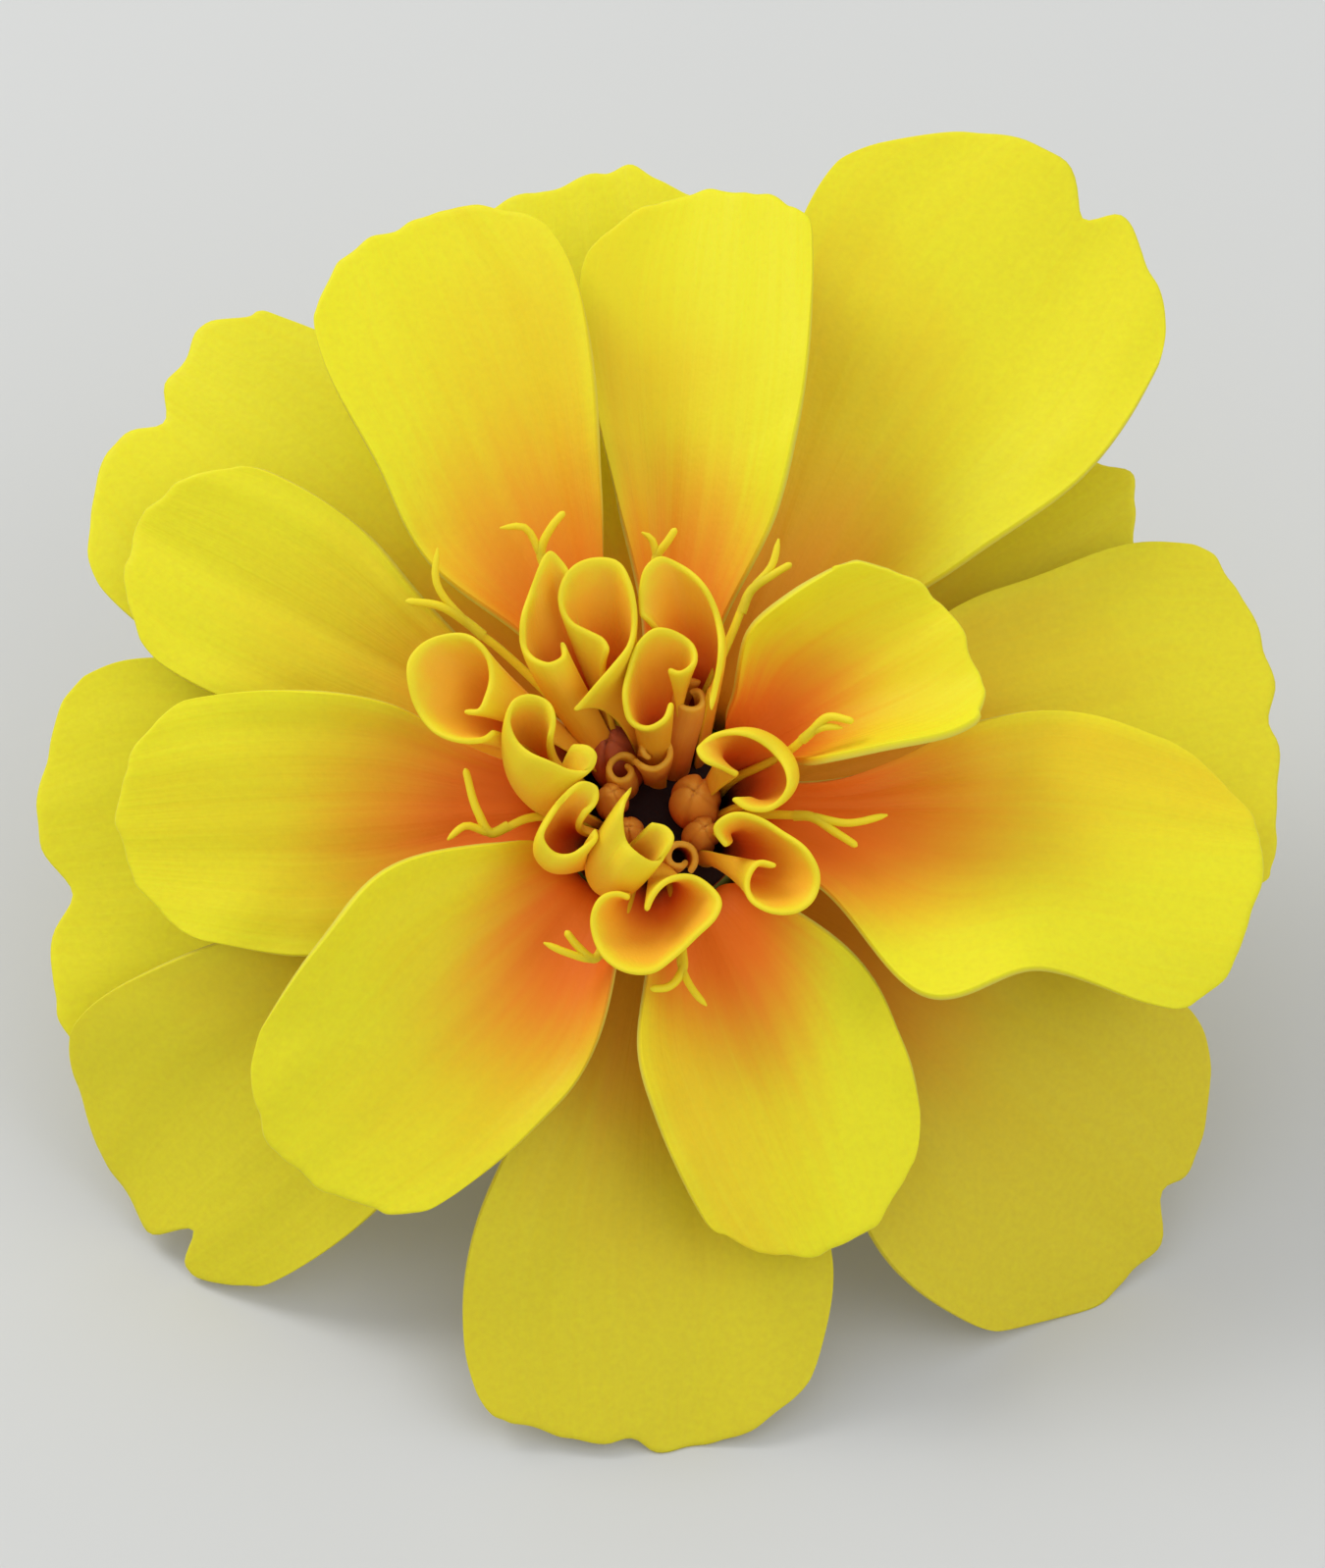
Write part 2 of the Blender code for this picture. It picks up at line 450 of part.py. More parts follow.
def face_outwards(piece):
    """Weld the seam and turn every face outwards."""
    bm = bmesh.new()
    bm.from_mesh(piece.data)
    bmesh.ops.remove_doubles(bm, verts=bm.verts[:], dist=2 * WELD * MM)
    bmesh.ops.triangulate(bm, faces=bm.faces[:])
    bmesh.ops.recalc_face_normals(bm, faces=bm.faces[:])
    if bm.calc_volume(signed=True) < 0:
        bmesh.ops.reverse_faces(bm, faces=bm.faces[:])
    bm.to_mesh(piece.data)
    bm.free()
    for polygon in piece.data.polygons:
        polygon.use_smooth = True


def make_petals(surface, collection):
    """The outer and the inner ring of ray petals."""
    made = []
    seated = [(petal, OUTER_RING) for petal in OUTER_PETALS]
    seated += [(petal, INNER_RING) for petal in INNER_PETALS]
    for number, (petal, ring) in enumerate(seated, 1):
        points = petal_grid(petal, ring, PETAL_COLUMNS, CLAW_ROWS, LIMB_ROWS)
        made.append(blade(f"ray_petal_{number:02d}", points, surface, collection))
    return made


def make_bud(name, x, y, top, radius, surface, collection):
    """A closed bud that leans out from its foot on the disc."""
    foot = min(1.0, BUD_FOOT / math.hypot(x, y))
    tall = (top + BUD_SINK) / 2
    bm = bmesh.new()
    bmesh.ops.create_icosphere(bm, subdivisions=BUD_DETAIL, radius=1.0)
    for vertex in bm.verts:
        reach = foot + (1 - foot) * float(smooth((vertex.co.z + 1) / 2))
        vertex.co = Vector((x * reach + radius * vertex.co.x, y * reach + radius * vertex.co.y,
                            top - tall + tall * vertex.co.z)) * MM
    return finish_mesh(bm, name, surface, collection)


def style_path(stalk):
    """A style's whole stalk: up from the disc and out over the petals."""
    x, y, _ = stalk[0]
    reach = math.hypot(x, y)
    out, up = STYLE_NECK
    foot = (x / reach * STYLE_FOOT, y / reach * STYLE_FOOT, 0.0)
    neck = (x / reach * out, y / reach * out, up)
    return (foot, neck) + stalk


def tube(name, points, surface, collection):
    """A round thread along a smooth path, closed at both ends."""
    path = resample(points, STYLE_STEPS + 1) * MM
    curve = bpy.data.curves.new(name, "CURVE")
    curve.dimensions = "3D"
    spline = curve.splines.new("POLY")
    spline.points.add(len(path) - 1)
    for point, place in zip(spline.points, path):
        point.co = (*place, 1.0)
    curve.bevel_depth = STYLE_RADIUS * MM
    curve.bevel_resolution = 1
    curve.use_fill_caps = True
    swept = bpy.data.objects.new(name, curve)
    mesh = bpy.data.meshes.new_from_object(swept)
    bpy.data.objects.remove(swept, do_unlink=True)
    mesh.materials.clear()
    mesh.materials.append(surface)
    made = bpy.data.objects.new(name, mesh)
    collection.objects.link(made)
    face_outwards(made)
    return made


def make_disc(surface, collection, scraps):
    """The disc: its low dome with the rolled florets, the buds and the forked styles fused on."""
    dome = [(0.0, DISC_FOOT), (DISC_RADIUS, DISC_FOOT)]
    for angle in np.linspace(0, math.pi / 2, DOME_STEPS + 1)[:-1]:
        dome.append((DISC_RADIUS * math.cos(angle), DISC_TOP * math.sin(angle)))
    dome.append((0.0, DISC_TOP))
    disc = turned("disc_florets", dome, DISC_SEGMENTS, surface, collection)

    for number, floret in enumerate(ROLLED_FLORETS):
        blade(f"floret_{number}", floret_grid(floret, FLORET_COLUMNS, FLORET_ROWS), surface, scraps)
    for number, (x, y, top, radius) in enumerate(BUDS):
        make_bud(f"bud_{number}", x, y, top, radius, surface, scraps)
    for number, (stalk, branch) in enumerate(STYLES):
        tube(f"style_{number}", style_path(stalk), surface, scraps)
        tube(f"branch_{number}", branch, surface, scraps)

    fuse = disc.modifiers.new("fuse", "BOOLEAN")
    fuse.operation = "UNION"
    fuse.operand_type = "COLLECTION"
    fuse.collection = scraps
    fuse.solver = "MANIFOLD"
    apply_modifiers(disc)
    for item in list(scraps.objects):
        bpy.data.objects.remove(item, do_unlink=True)
    keep_largest_body(disc)
    return disc


def keep_largest_body(piece):
    """Drop loose scraps and sealed hollows left by fusing."""
    bm = bmesh.new()
    bm.from_mesh(piece.data)
    bmesh.ops.remove_doubles(bm, verts=bm.verts[:], dist=FUSED_WELD * MM)
    bodies = []
    unseen = set(bm.verts)
    while unseen:
        group = [unseen.pop()]
        for vertex in group:
            for edge in vertex.link_edges:
                other = edge.other_vert(vertex)
                if other in unseen:
                    unseen.remove(other)
                    group.append(other)
        bodies.append(group)
    bodies.sort(key=len, reverse=True)
    for group in bodies[1:]:
        bmesh.ops.delete(bm, geom=group, context="VERTS")
    bmesh.ops.triangulate(bm, faces=bm.faces[:])
    bm.to_mesh(piece.data)
    bm.free()
    for polygon in piece.data.polygons:
        polygon.use_smooth = True


def cup_radius(height):
    """Outer radius of the green cup at a height below the petals."""
    stations = (CUP_BOTTOM, CUP_BOTTOM + 1.5, CUP_BOTTOM + CUP_FLARE, CUP_BOTTOM + 7.5, CUP_RIM + 2.0)
    radii = (STEM_NECK + 0.9, 4.6, 6.6, CUP_INNER + CUP_WALL, CUP_INNER + CUP_WALL)
    return float(through(height, stations, radii))


def make_cup(surface, collection):
    """The green cup of fused bracts: a ribbed bowl with a toothed rim and a seat for the stem."""
    outside = [(cup_radius(z), z) for z in np.linspace(CUP_BOTTOM, CUP_RIM, CUP_ROWS)]
    seat = STEM_NECK + SEAT_GAP
    profile = [(0.0, CUP_BOTTOM + SEAT_DEPTH), (seat, CUP_BOTTOM + SEAT_DEPTH), (seat, CUP_BOTTOM)]
    profile += outside
    profile += [(CUP_INNER, CUP_RIM), (CUP_INNER, CUP_FLOOR), (0.0, CUP_FLOOR)]
    cup = turned("involucre", profile, CUP_SEGMENTS, surface, collection)
    for vertex in cup.data.vertices:
        x, y, z = (c / MM for c in vertex.co)
        radius = math.hypot(x, y)
        if radius < seat + 0.01:
            continue
        turn = BRACTS * math.atan2(y, x)
        if z > CUP_RIM - 0.1:
            z += TOOTH * (0.5 + 0.5 * math.cos(turn)) - TOOTH / 2
        if radius > cup_radius(z) - 0.3:
            radius_now = radius + RIB * math.cos(turn) * float(smooth((z - CUP_BOTTOM) / CUP_FLARE))
            x, y = x * radius_now / radius, y * radius_now / radius
        vertex.co = Vector((x, y, z)) * MM
    return cup


def make_stem(surface, collection):
    """The cut end of the stalk, swelling towards the cup."""
    top = CUP_BOTTOM + SEAT_DEPTH - SEAT_GAP
    profile = [(0.0, STEM_END)]
    for z in np.linspace(STEM_END, top, STEM_ROWS):
        swell = smooth((z - STEM_END) / (top - STEM_END))
        profile.append((STEM_RADIUS + (STEM_NECK - STEM_RADIUS) * float(swell), z))
    profile.append((0.0, top))
    return turned("stem", profile, STEM_SEGMENTS, surface, collection)


def settle(pieces):
    """Lean the flower, set it on the table, press its touching tips flat and centre it."""
    lean = Matrix.Rotation(math.radians(LEAN), 4, "X")
    for piece in pieces:
        piece.data.transform(lean)
    spots = np.array([v.co for piece in pieces for v in piece.data.vertices])
    low, high = spots.min(0), spots.max(0)
    shift = Vector((-(low[0] + high[0]) / 2, -(low[1] + high[1]) / 2, -low[2] - CONTACT * MM))
    for piece in pieces:
        for vertex in piece.data.vertices:
            vertex.co += shift
            vertex.co.z = max(vertex.co.z, 0.0)
        piece.data.update()
    return lean, shift


def main():
    for item in list(bpy.data.objects):
        bpy.data.objects.remove(item, do_unlink=True)
    flower = bpy.data.collections.new("marigold_flower")
    bpy.context.scene.collection.children.link(flower)
    scraps = bpy.data.collections.new("fused_in")
    bpy.context.scene.collection.children.link(scraps)

    pieces = make_petals(material("petal_yellow", *PETAL_YELLOW), flower)
    pieces.append(make_disc(material("floret_orange", *FLORET_ORANGE), flower, scraps))
    pieces.append(make_cup(material("bract_green", *BRACT_GREEN), flower))
    pieces.append(make_stem(material("stem_green", *STEM_GREEN), flower))
    bpy.data.collections.remove(scraps)
    return settle(pieces)


if __name__ == "__main__":
    main()
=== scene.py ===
"""Marigold flower: the fine look of a French marigold head around its plain solids.

The head is picked and lies on its lower petals and the cut end of its stem. Its shapes are drawn
in millimetres in the head's own frame: the flower axis is +Z, the petals leave the green cup near
Z = 0 and the top petal points along +Y. Each finished piece is then leaned onto the table.
"""
import math

import bmesh
import bpy
import numpy as np
from bpy.props import FloatProperty, FloatVectorProperty, PointerProperty
from mathutils import Matrix, Quaternion, Vector


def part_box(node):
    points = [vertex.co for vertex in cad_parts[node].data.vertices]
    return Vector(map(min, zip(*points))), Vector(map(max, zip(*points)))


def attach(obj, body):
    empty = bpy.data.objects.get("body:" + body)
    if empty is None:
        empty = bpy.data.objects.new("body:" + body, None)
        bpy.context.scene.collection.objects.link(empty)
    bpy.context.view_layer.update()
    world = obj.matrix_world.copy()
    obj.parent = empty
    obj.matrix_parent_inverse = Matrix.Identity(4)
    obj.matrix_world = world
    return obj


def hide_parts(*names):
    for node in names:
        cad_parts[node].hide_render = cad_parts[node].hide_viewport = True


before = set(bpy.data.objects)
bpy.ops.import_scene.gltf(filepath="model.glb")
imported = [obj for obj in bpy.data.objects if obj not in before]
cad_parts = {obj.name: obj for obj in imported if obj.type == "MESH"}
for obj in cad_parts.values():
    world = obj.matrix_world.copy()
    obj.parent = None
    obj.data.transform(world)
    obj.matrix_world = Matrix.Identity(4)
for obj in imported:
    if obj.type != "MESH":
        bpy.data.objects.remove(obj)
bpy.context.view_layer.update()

bl_info = {
    "name": "Marigold Flower",
    "version": (1, 0, 0),
    "blender": (4, 5, 0),
    "location": "3D View > Sidebar > Marigold",
    "description": "Builds the petals, florets, cup and stem of a picked marigold head",
    "category": "Object",
}

MM = 0.001

# The solids' own dimensions in millimetres and degrees. The fine claws alone are a little wider.
LEAN = 30.0
CLAW_HALF = 1.3
CLAW_FOOT = -4.7
CLAW_SPREAD = 2.6
OUTER_RING = {"root": 6.1, "exit": -0.2, "arch": 2.0}
INNER_RING = {"root": 5.0, "exit": 1.4, "arch": 3.2}
WIDTH_STATIONS = (0.0, 0.2, 0.4, 0.6, 0.8, 1.0, 1.3)
DISC_RADIUS = 4.4
DISC_FOOT = -4.9
DISC_TOP = 0.6
CUP_INNER = 6.75
CUP_WALL = 0.75
CUP_FLOOR = -5.3
CUP_RIM = -2.1
CUP_BOTTOM = -14.0
BRACTS = 8
STEM_RADIUS = 1.5
STEM_NECK = 2.3
STEM_END = -18.2
SEAT_GAP = 0.3
SEAT_DEPTH = 0.9
STEM_TOP = CUP_BOTTOM + SEAT_DEPTH - SEAT_GAP
TOOTH = 1.2
RIB = 0.18

# Each petal: compass of its midrib (0 along +X, 90 along +Y), length, half widths to its left and
# right at five stations, rounding of the two halves of the tip, notches (angle, depth, width),
# angle of the blade over the disc plane where it leaves the ring and at its tip, cupping of the
# cross-section at base, middle and tip, roll about the midrib, sideways sway, edge ruffle (height,
# waves, phase), and the orange patch at its base: length, strength and place to the left of the
# midrib. Then how fresh and how lit the yellow is (below 1 it dulls to mustard, partly for age and
# partly as painted shade on petals that lie in shadow), how far the gold leans to the left
# (painted shade on the petal's darker side), creases (place across the petal, steepness), how far
# it is sunk, and its claw's half width where it isn't CLAW_HALF.
OUTER_PETALS = (
    dict(azimuth=96, length=27.1, left=(1.9, 3.8, 5.6, 6.6, 5.6), right=(1.9, 3.8, 5.4, 6.2, 5.2),
         tip=(0.13, 0.13), notches=((15, 0.7, 10), (-24, -0.5, 9)), rise=2, fall=-10,
         cup=(10, 8, -4), roll=-6, ruffle=(0.3, 3, 0), patch=(9, 0.5, 0), fresh=0.9),
    dict(azimuth=56, length=32.9, left=(3.5, 6.6, 9.5, 10.7, 8.4), right=(2.8, 6.0, 8.2, 7.8, 6.2),
         tip=(0.20, 0.20), notches=((-6, 2.1, 8), (-42, 0.5, 20), (42, -0.8, 18)), rise=3, fall=-8,
         cup=(20, 16, -4), roll=-6, ruffle=(0.35, 3, 40), patch=(15, 0.6, 0), fresh=0.85,
         shaded_side=0.7, creases=((-0.15, 0.9), (0.5, -0.5))),
    dict(azimuth=36, length=22.9, left=(1.8, 4.2, 5.8, 6.2, 5.6), right=(1.6, 4.2, 5.6, 5.8, 5.0),
         tip=(0.12, 0.16), notches=((6, -1.3, 9), (-28, 0.8, 12)), sink=1.0, rise=-5, fall=-10,
         cup=(4, 4, -4), roll=0, ruffle=(0.2, 3, 0), patch=(12, 0.5, 0), fresh=0.6, claw=0.7),
    dict(azimuth=12, length=25.2, left=(3.0, 6.5, 7.6, 8.4, 7.2), right=(3.6, 6.2, 8.0, 9.2, 8.8),
         tip=(0.09, 0.13), notches=((-10, 1.0, 7), (-42, 0.9, 20)), sink=0.1, rise=1, fall=-9,
         cup=(8, 8, -4), roll=-1, ruffle=(0.3, 3, 90), patch=(12, 0.6, 0), fresh=0.65,
         shaded_side=0.6, creases=((0.25, 0.6), (-0.3, -0.5))),
    dict(azimuth=321, length=27.0, left=(4.0, 7.0, 9.0, 9.2, 7.6), right=(3.8, 7.2, 9.7, 9.1, 6.6),
         tip=(0.24, 0.17), notches=((13, 1.6, 7), (34, 0.5, 18), (-40, -0.7, 16)),
         sink=0.5, rise=-2, fall=-28.7, cup=(6, 6, -6), roll=-5, ruffle=(0.3, 4, 0),
         patch=(14, 0.6, 0), fresh=0.3, creases=((-0.1, 0.6), (0.4, -0.6))),
    dict(azimuth=268.5, length=25.2, left=(3.2, 6.2, 8.8, 8.4, 6.4),
         right=(3.4, 6.0, 8.0, 8.2, 6.6), tip=(0.16, 0.11), notches=((-2, 0.8, 8), (-32, 0.6, 22)),
         rise=2, fall=-15.0, cup=(12, 8, -6), roll=-3, ruffle=(0.3, 3, 20), patch=(12, 0.45, 0),
         fresh=0.45, creases=((0.3, 0.6), (-0.25, -0.4))),
    dict(azimuth=218, length=27.7, left=(3.4, 5.6, 6.6, 6.2, 4.8), right=(4.4, 6.4, 8.6, 9.6, 7.6),
         tip=(0.14, 0.18), notches=((15, 2.7, 7),), sink=-0.2, rise=1.7, fall=-40.0,
         cup=(10, 8, -6), roll=-10, ruffle=(0.35, 3, 0), patch=(11, 0.6, 0), fresh=0.6,
         shaded_side=-0.6, creases=((-0.2, 0.7), (0.35, -0.5))),
    dict(azimuth=183, length=24.7, left=(4.6, 6.6, 8.2, 9.4, 8.8), right=(4.8, 6.8, 8.6, 9.3, 7.8),
         tip=(0.05, 0.12), notches=((11, 1.8, 9),), sink=0.9, rise=-3, fall=-17,
         cup=(0, 2, -4), roll=-7.3, ruffle=(0.35, 3, 0), patch=(10, 0.6, 0), fresh=0.85,
         creases=((0.1, 0.3),)),
    dict(azimuth=140, length=27.0, left=(5.0, 6.6, 8.4, 8.6, 6.9), right=(3.4, 6.0, 7.6, 8.2, 7.0),
         tip=(0.18, 0.05), notches=((2, 1.7, 8), (-42, -0.9, 14)), rise=2, fall=-11,
         cup=(8, 6, -4), roll=3.2, ruffle=(0.35, 3, 0), patch=(11, 0.6, 0), fresh=0.9,
         creases=((0.3, 0.4), (-0.2, -0.4))),
)
INNER_PETALS = (
    dict(azimuth=355, length=25.0, left=(1.8, 4.2, 5.9, 4.9, 3.4), right=(4.4, 9.4, 7.3, 7.9, 8.0),
         tip=(0.20, 0.16), notches=(), rise=9, fall=-8,
         cup=(50, 22, -8), roll=-5, ruffle=(0.5, 4, 60), patch=(14.5, 1.0, 0), fresh=0.95,
         shaded_side=0.6, creases=((0.1, 0.5), (-0.45, -0.5))),
    dict(azimuth=292, length=19.1, left=(4.0, 6.1, 6.3, 5.7, 4.6), right=(3.6, 5.6, 5.9, 5.4, 4.4),
         tip=(0.24, 0.18), notches=((-62, 0.5, 9),), sink=0.15, rise=7, fall=-10,
         cup=(46, 24, 0), roll=-6, ruffle=(0.25, 3, 0), patch=(11, 1.0, 0.4), fresh=0.95,
         shaded_side=-0.8, creases=((-0.35, 0.5), (0.3, -0.4))),
    dict(azimuth=230, length=20.7, left=(4.2, 6.2, 6.5, 6.1, 5.2), right=(5.0, 7.4, 7.0, 5.8, 4.4),
         tip=(0.13, 0.20), notches=(), sink=-0.5, rise=11, fall=-8,
         cup=(50, 28, 0), roll=-12, sway=-1.6, ruffle=(0.25, 3, 0), patch=(12, 1.0, 2.2),
         fresh=0.9, shaded_side=0.2, creases=((0.1, 0.6), (-0.5, -0.4))),
    dict(azimuth=182.5, length=21.6, left=(3.4, 6.2, 6.7, 5.8, 4.6),
         right=(2.6, 5.0, 5.8, 5.7, 4.8), tip=(0.18, 0.18), notches=(), rise=6, fall=-7,
         cup=(36, 14, -2), roll=-11, ruffle=(0.25, 3, 0), patch=(13, 1.0, 0.8), fresh=0.95,
         creases=((0.2, 0.5), (-0.4, -0.4))),
    dict(azimuth=151, length=24.4, left=(2.4, 4.2, 5.2, 5.4, 4.4), right=(1.6, 3.0, 4.8, 5.1, 4.1),
         tip=(0.18, 0.18), notches=(), sink=0.7, rise=4, fall=-3,
         cup=(30, 16, 0), roll=-12, ruffle=(0.25, 3, 0), patch=(12, 0.5, 0), fresh=0.9,
         creases=((0.15, 0.6),)),
    dict(azimuth=114, length=26.9, left=(2.4, 5.3, 5.6, 5.8, 4.8), right=(1.7, 3.8, 5.9, 6.8, 5.6),
         tip=(0.14, 0.15), notches=((2, 0.6, 7),), sink=-0.3, rise=12, fall=-4,
         cup=(45, 30, 6), roll=-8, ruffle=(0.25, 3, 0), patch=(16, 0.85, 0), fresh=0.95,
         shaded_side=-0.3, creases=((-0.15, 0.7), (0.45, -0.6)), claw=1.0),
    dict(azimuth=84, length=26.3, left=(1.6, 3.4, 5.2, 6.2, 4.8), right=(2.6, 4.8, 5.4, 5.1, 4.5),
         tip=(0.16, 0.08), notches=(), rise=9, fall=-5,
         cup=(45, 30, 4), roll=-7, ruffle=(0.25, 3, 0), patch=(13.5, 0.85, 0), fresh=1.0,
         shaded_side=0.7, creases=((0.35, 0.8), (-0.4, -0.5)), claw=1.0),
    dict(azimuth=29, length=13.4, left=(2.6, 5.2, 5.6, 5.0, 4.0), right=(1.5, 3.8, 5.4, 6.0, 5.4),
         tip=(0.26, 0.12), notches=(), rise=30, fall=10,
         cup=(60, 70, 40), roll=-6, ruffle=(0.25, 3, 0), patch=(9.5, 1.0, 0), fresh=1.0),
)

# Each rolled floret: foot on the disc, where its belly leans out to and the belly's radius, height
# of the mouth, slope of the mouth along X and Y, and the mouth's edge from margin to margin.
ROLLED_FLORETS = (
    dict(foot=(-1.9, 2.2), belly=(-4.9, 5.5, 7.2), radius=1.35, height=9.4, slope=(0.0, 0.12),
         mouth=((-3.9, 9.5), (-4.3, 10.2), (-4.8, 10.6), (-5.3, 9.8), (-5.8, 8.5), (-6.1, 7.3),
                (-6.1, 6.4), (-5.6, 5.6), (-4.9, 5.3), (-4.2, 5.8), (-4.3, 6.5))),
    dict(foot=(-0.9, 2.6), belly=(-2.2, 5.6, 6.2), radius=1.2, height=9.2, slope=(0.0, 0.06),
         mouth=((-3.8, 3.2), (-3.0, 4.0), (-1.9, 5.2), (-1.1, 6.4), (-0.9, 7.8), (-1.2, 9.3),
                (-1.7, 10.2), (-2.7, 10.4), (-3.7, 10.0), (-4.3, 9.1), (-4.4, 8.3), (-3.9, 7.4),
                (-3.0, 6.9), (-2.3, 6.5), (-2.1, 6.0))),
    dict(foot=(1.7, 2.8), belly=(2.45, 7.4, 7.15), radius=1.2, height=9.2, slope=(0.0, 0.05),
         mouth=((-0.65, 7.65), (-0.75, 8.2), (-0.7, 9.1), (-0.4, 9.9), (0.3, 10.4), (1.1, 10.1),
                (2.0, 9.3), (2.7, 8.1), (3.0, 6.7), (3.0, 5.4), (2.8, 4.2), (2.6, 3.1))),
    dict(foot=(0.2, 1.9), belly=(0.25, 4.0, 5.7), radius=1.1, height=8.8, slope=(0.0, 0.1),
         mouth=((0.8, 3.7), (0.5, 2.8), (-0.3, 2.4), (-1.1, 2.7), (-1.4, 3.7), (-1.2, 5.1),
                (-0.7, 6.4), (0.1, 7.0), (1.0, 6.9), (1.8, 6.3), (1.9, 5.5), (1.2, 5.0),
                (0.6, 5.3))),
    dict(foot=(-2.5, 1.4), belly=(-7.2, 3.7, 6.6), radius=1.0, height=9.0, slope=(0.0, 0.0),
         mouth=((-8.9, 3.1), (-8.2, 3.1), (-7.8, 3.9), (-7.6, 4.8), (-7.9, 6.0), (-8.7, 6.7),
                (-9.6, 6.8), (-10.6, 6.5), (-11.4, 5.5), (-11.4, 4.3), (-10.9, 3.0), (-10.0, 2.0),
                (-8.8, 1.6), (-7.9, 1.8), (-7.4, 2.3))),
    dict(foot=(-2.8, 0.1), belly=(-7.0, -0.3, 5.2), radius=1.7, height=9.4, slope=(0.0, 0.1),
         mouth=((-4.8, 1.9), (-4.6, 2.7), (-4.9, 3.5), (-5.8, 3.8), (-6.4, 3.5), (-6.7, 2.7),
                (-6.4, 1.8), (-5.7, 1.1), (-4.6, 0.6), (-3.6, 0.3), (-2.8, 0.4), (-2.6, 0.9),
                (-3.0, 1.4), (-3.8, 1.6))),
    dict(foot=(-2.3, -1.7), belly=(-5.5, -3.9, 7.2), radius=1.3, height=8.8, slope=(0.0, 0.1),
         mouth=((-3.2, -1.5), (-2.6, -1.0), (-2.6, -0.4), (-3.1, -0.2), (-3.9, -0.7), (-4.7, -1.7),
                (-5.1, -2.8), (-4.6, -3.4), (-3.8, -3.5), (-3.0, -3.1), (-2.6, -2.6),
                (-2.7, -2.2))),
    dict(foot=(-1.3, -2.5), belly=(-3.4, -5.5, 5.7), radius=1.5, height=8.9, slope=(0.0, 0.3),
         mouth=((-1.0, -0.4), (-1.3, -1.1), (-1.4, -2.1), (-1.2, -3.0), (-0.6, -3.6), (0.1, -3.8),
                (0.7, -3.3), (0.9, -2.7), (0.5, -2.2), (-0.1, -2.1))),
    dict(foot=(0.0, -2.9), belly=(0.0, -5.8, 6.0), radius=1.3, height=8.4, slope=(0.0, 0.0),
         mouth=((-1.1, -5.5), (-1.6, -5.3), (-2.4, -5.5), (-2.9, -6.4), (-2.8, -7.4), (-2.2, -8.5),
                (-1.2, -9.1), (-0.2, -9.1), (0.9, -8.3), (1.9, -7.4), (2.9, -6.4), (3.1, -5.8),
                (2.5, -4.9), (1.8, -4.5), (0.7, -4.7), (-0.1, -5.5), (-0.4, -6.2))),
    dict(foot=(2.4, -1.7), belly=(4.8, -3.4, 6.0), radius=1.1, height=8.6, slope=(0.0, 0.0),
         mouth=((3.3, -3.1), (2.7, -2.3), (3.5, -1.7), (4.7, -1.8), (5.9, -2.5), (7.1, -3.5),
                (7.6, -4.6), (7.3, -5.7), (6.5, -6.3), (5.3, -6.3), (4.4, -5.6), (4.3, -4.7),
                (4.9, -3.9), (5.7, -4.1))),
    dict(foot=(2.5, 0.3), belly=(6.1, 1.4, 7.2), radius=2.0, height=8.6, slope=(0.0, 0.0),
         mouth=((3.8, 0.3), (3.0, 0.5), (2.2, 0.8), (1.9, 1.4), (2.4, 1.9), (3.4, 2.1), (4.4, 1.9),
                (5.4, 1.3), (6.0, 0.4), (6.1, -0.5), (5.6, -1.2), (4.9, -1.5), (4.1, -1.4),
                (3.5, -0.9))),
)
FOOT_RADIUS = 0.62
FOOT_SINK = 1.0
FOOT_SWEEP = 300.0
NECK_HEIGHT = 3.8
NECK_TILT = 0.3
BELLY_TILT = 0.7

# The lip of a floret waves, and drops a little towards both margins.
LIP_WAVES = 3.5
LIP_WAVE = 0.22
LIP_TURN = 2.0
MARGIN_DROP = 0.35

# Buds in the well of the disc: place and height of the top, and radius. Each leans out from a foot
# no further than BUD_FOOT from the middle, and its random numbers start from BUD_SEED.
BUDS = (
    (-2.2, 2.8, 4.6, 1.3), (-0.05, 2.1, 5.2, 1.0), (1.75, 4.45, 6.2, 0.9), (1.9, 0.25, 4.8, 1.25),
    (1.2, -2.8, 4.2, 0.8), (-2.7, 4.5, 5.0, 0.65), (-1.5, 1.4, 4.2, 0.8), (-2.0, 0.3, 4.4, 0.8),
    (2.3, -1.4, 4.4, 0.9), (-1.2, -1.2, 3.6, 0.8),
)
BUD_FOOT = 2.4
BUD_SINK = 1.0
BUD_SEED = 40

# The florets among them that have begun to unroll, with the compass of the outer margin, the
# spiral of their mouths, and the bud that lies deepest, which is given a darker copy of the bud
# colour as painted shade.
YOUNG_FLORETS = {2: 200.0, 3: 60.0, 5: 300.0, 7: 20.0}
YOUNG_STEPS = 14
YOUNG_SWEEP = 420.0
YOUNG_CLOSE = 0.62
YOUNG_WAVE = 0.08
SHADED_BUDS = (1,)

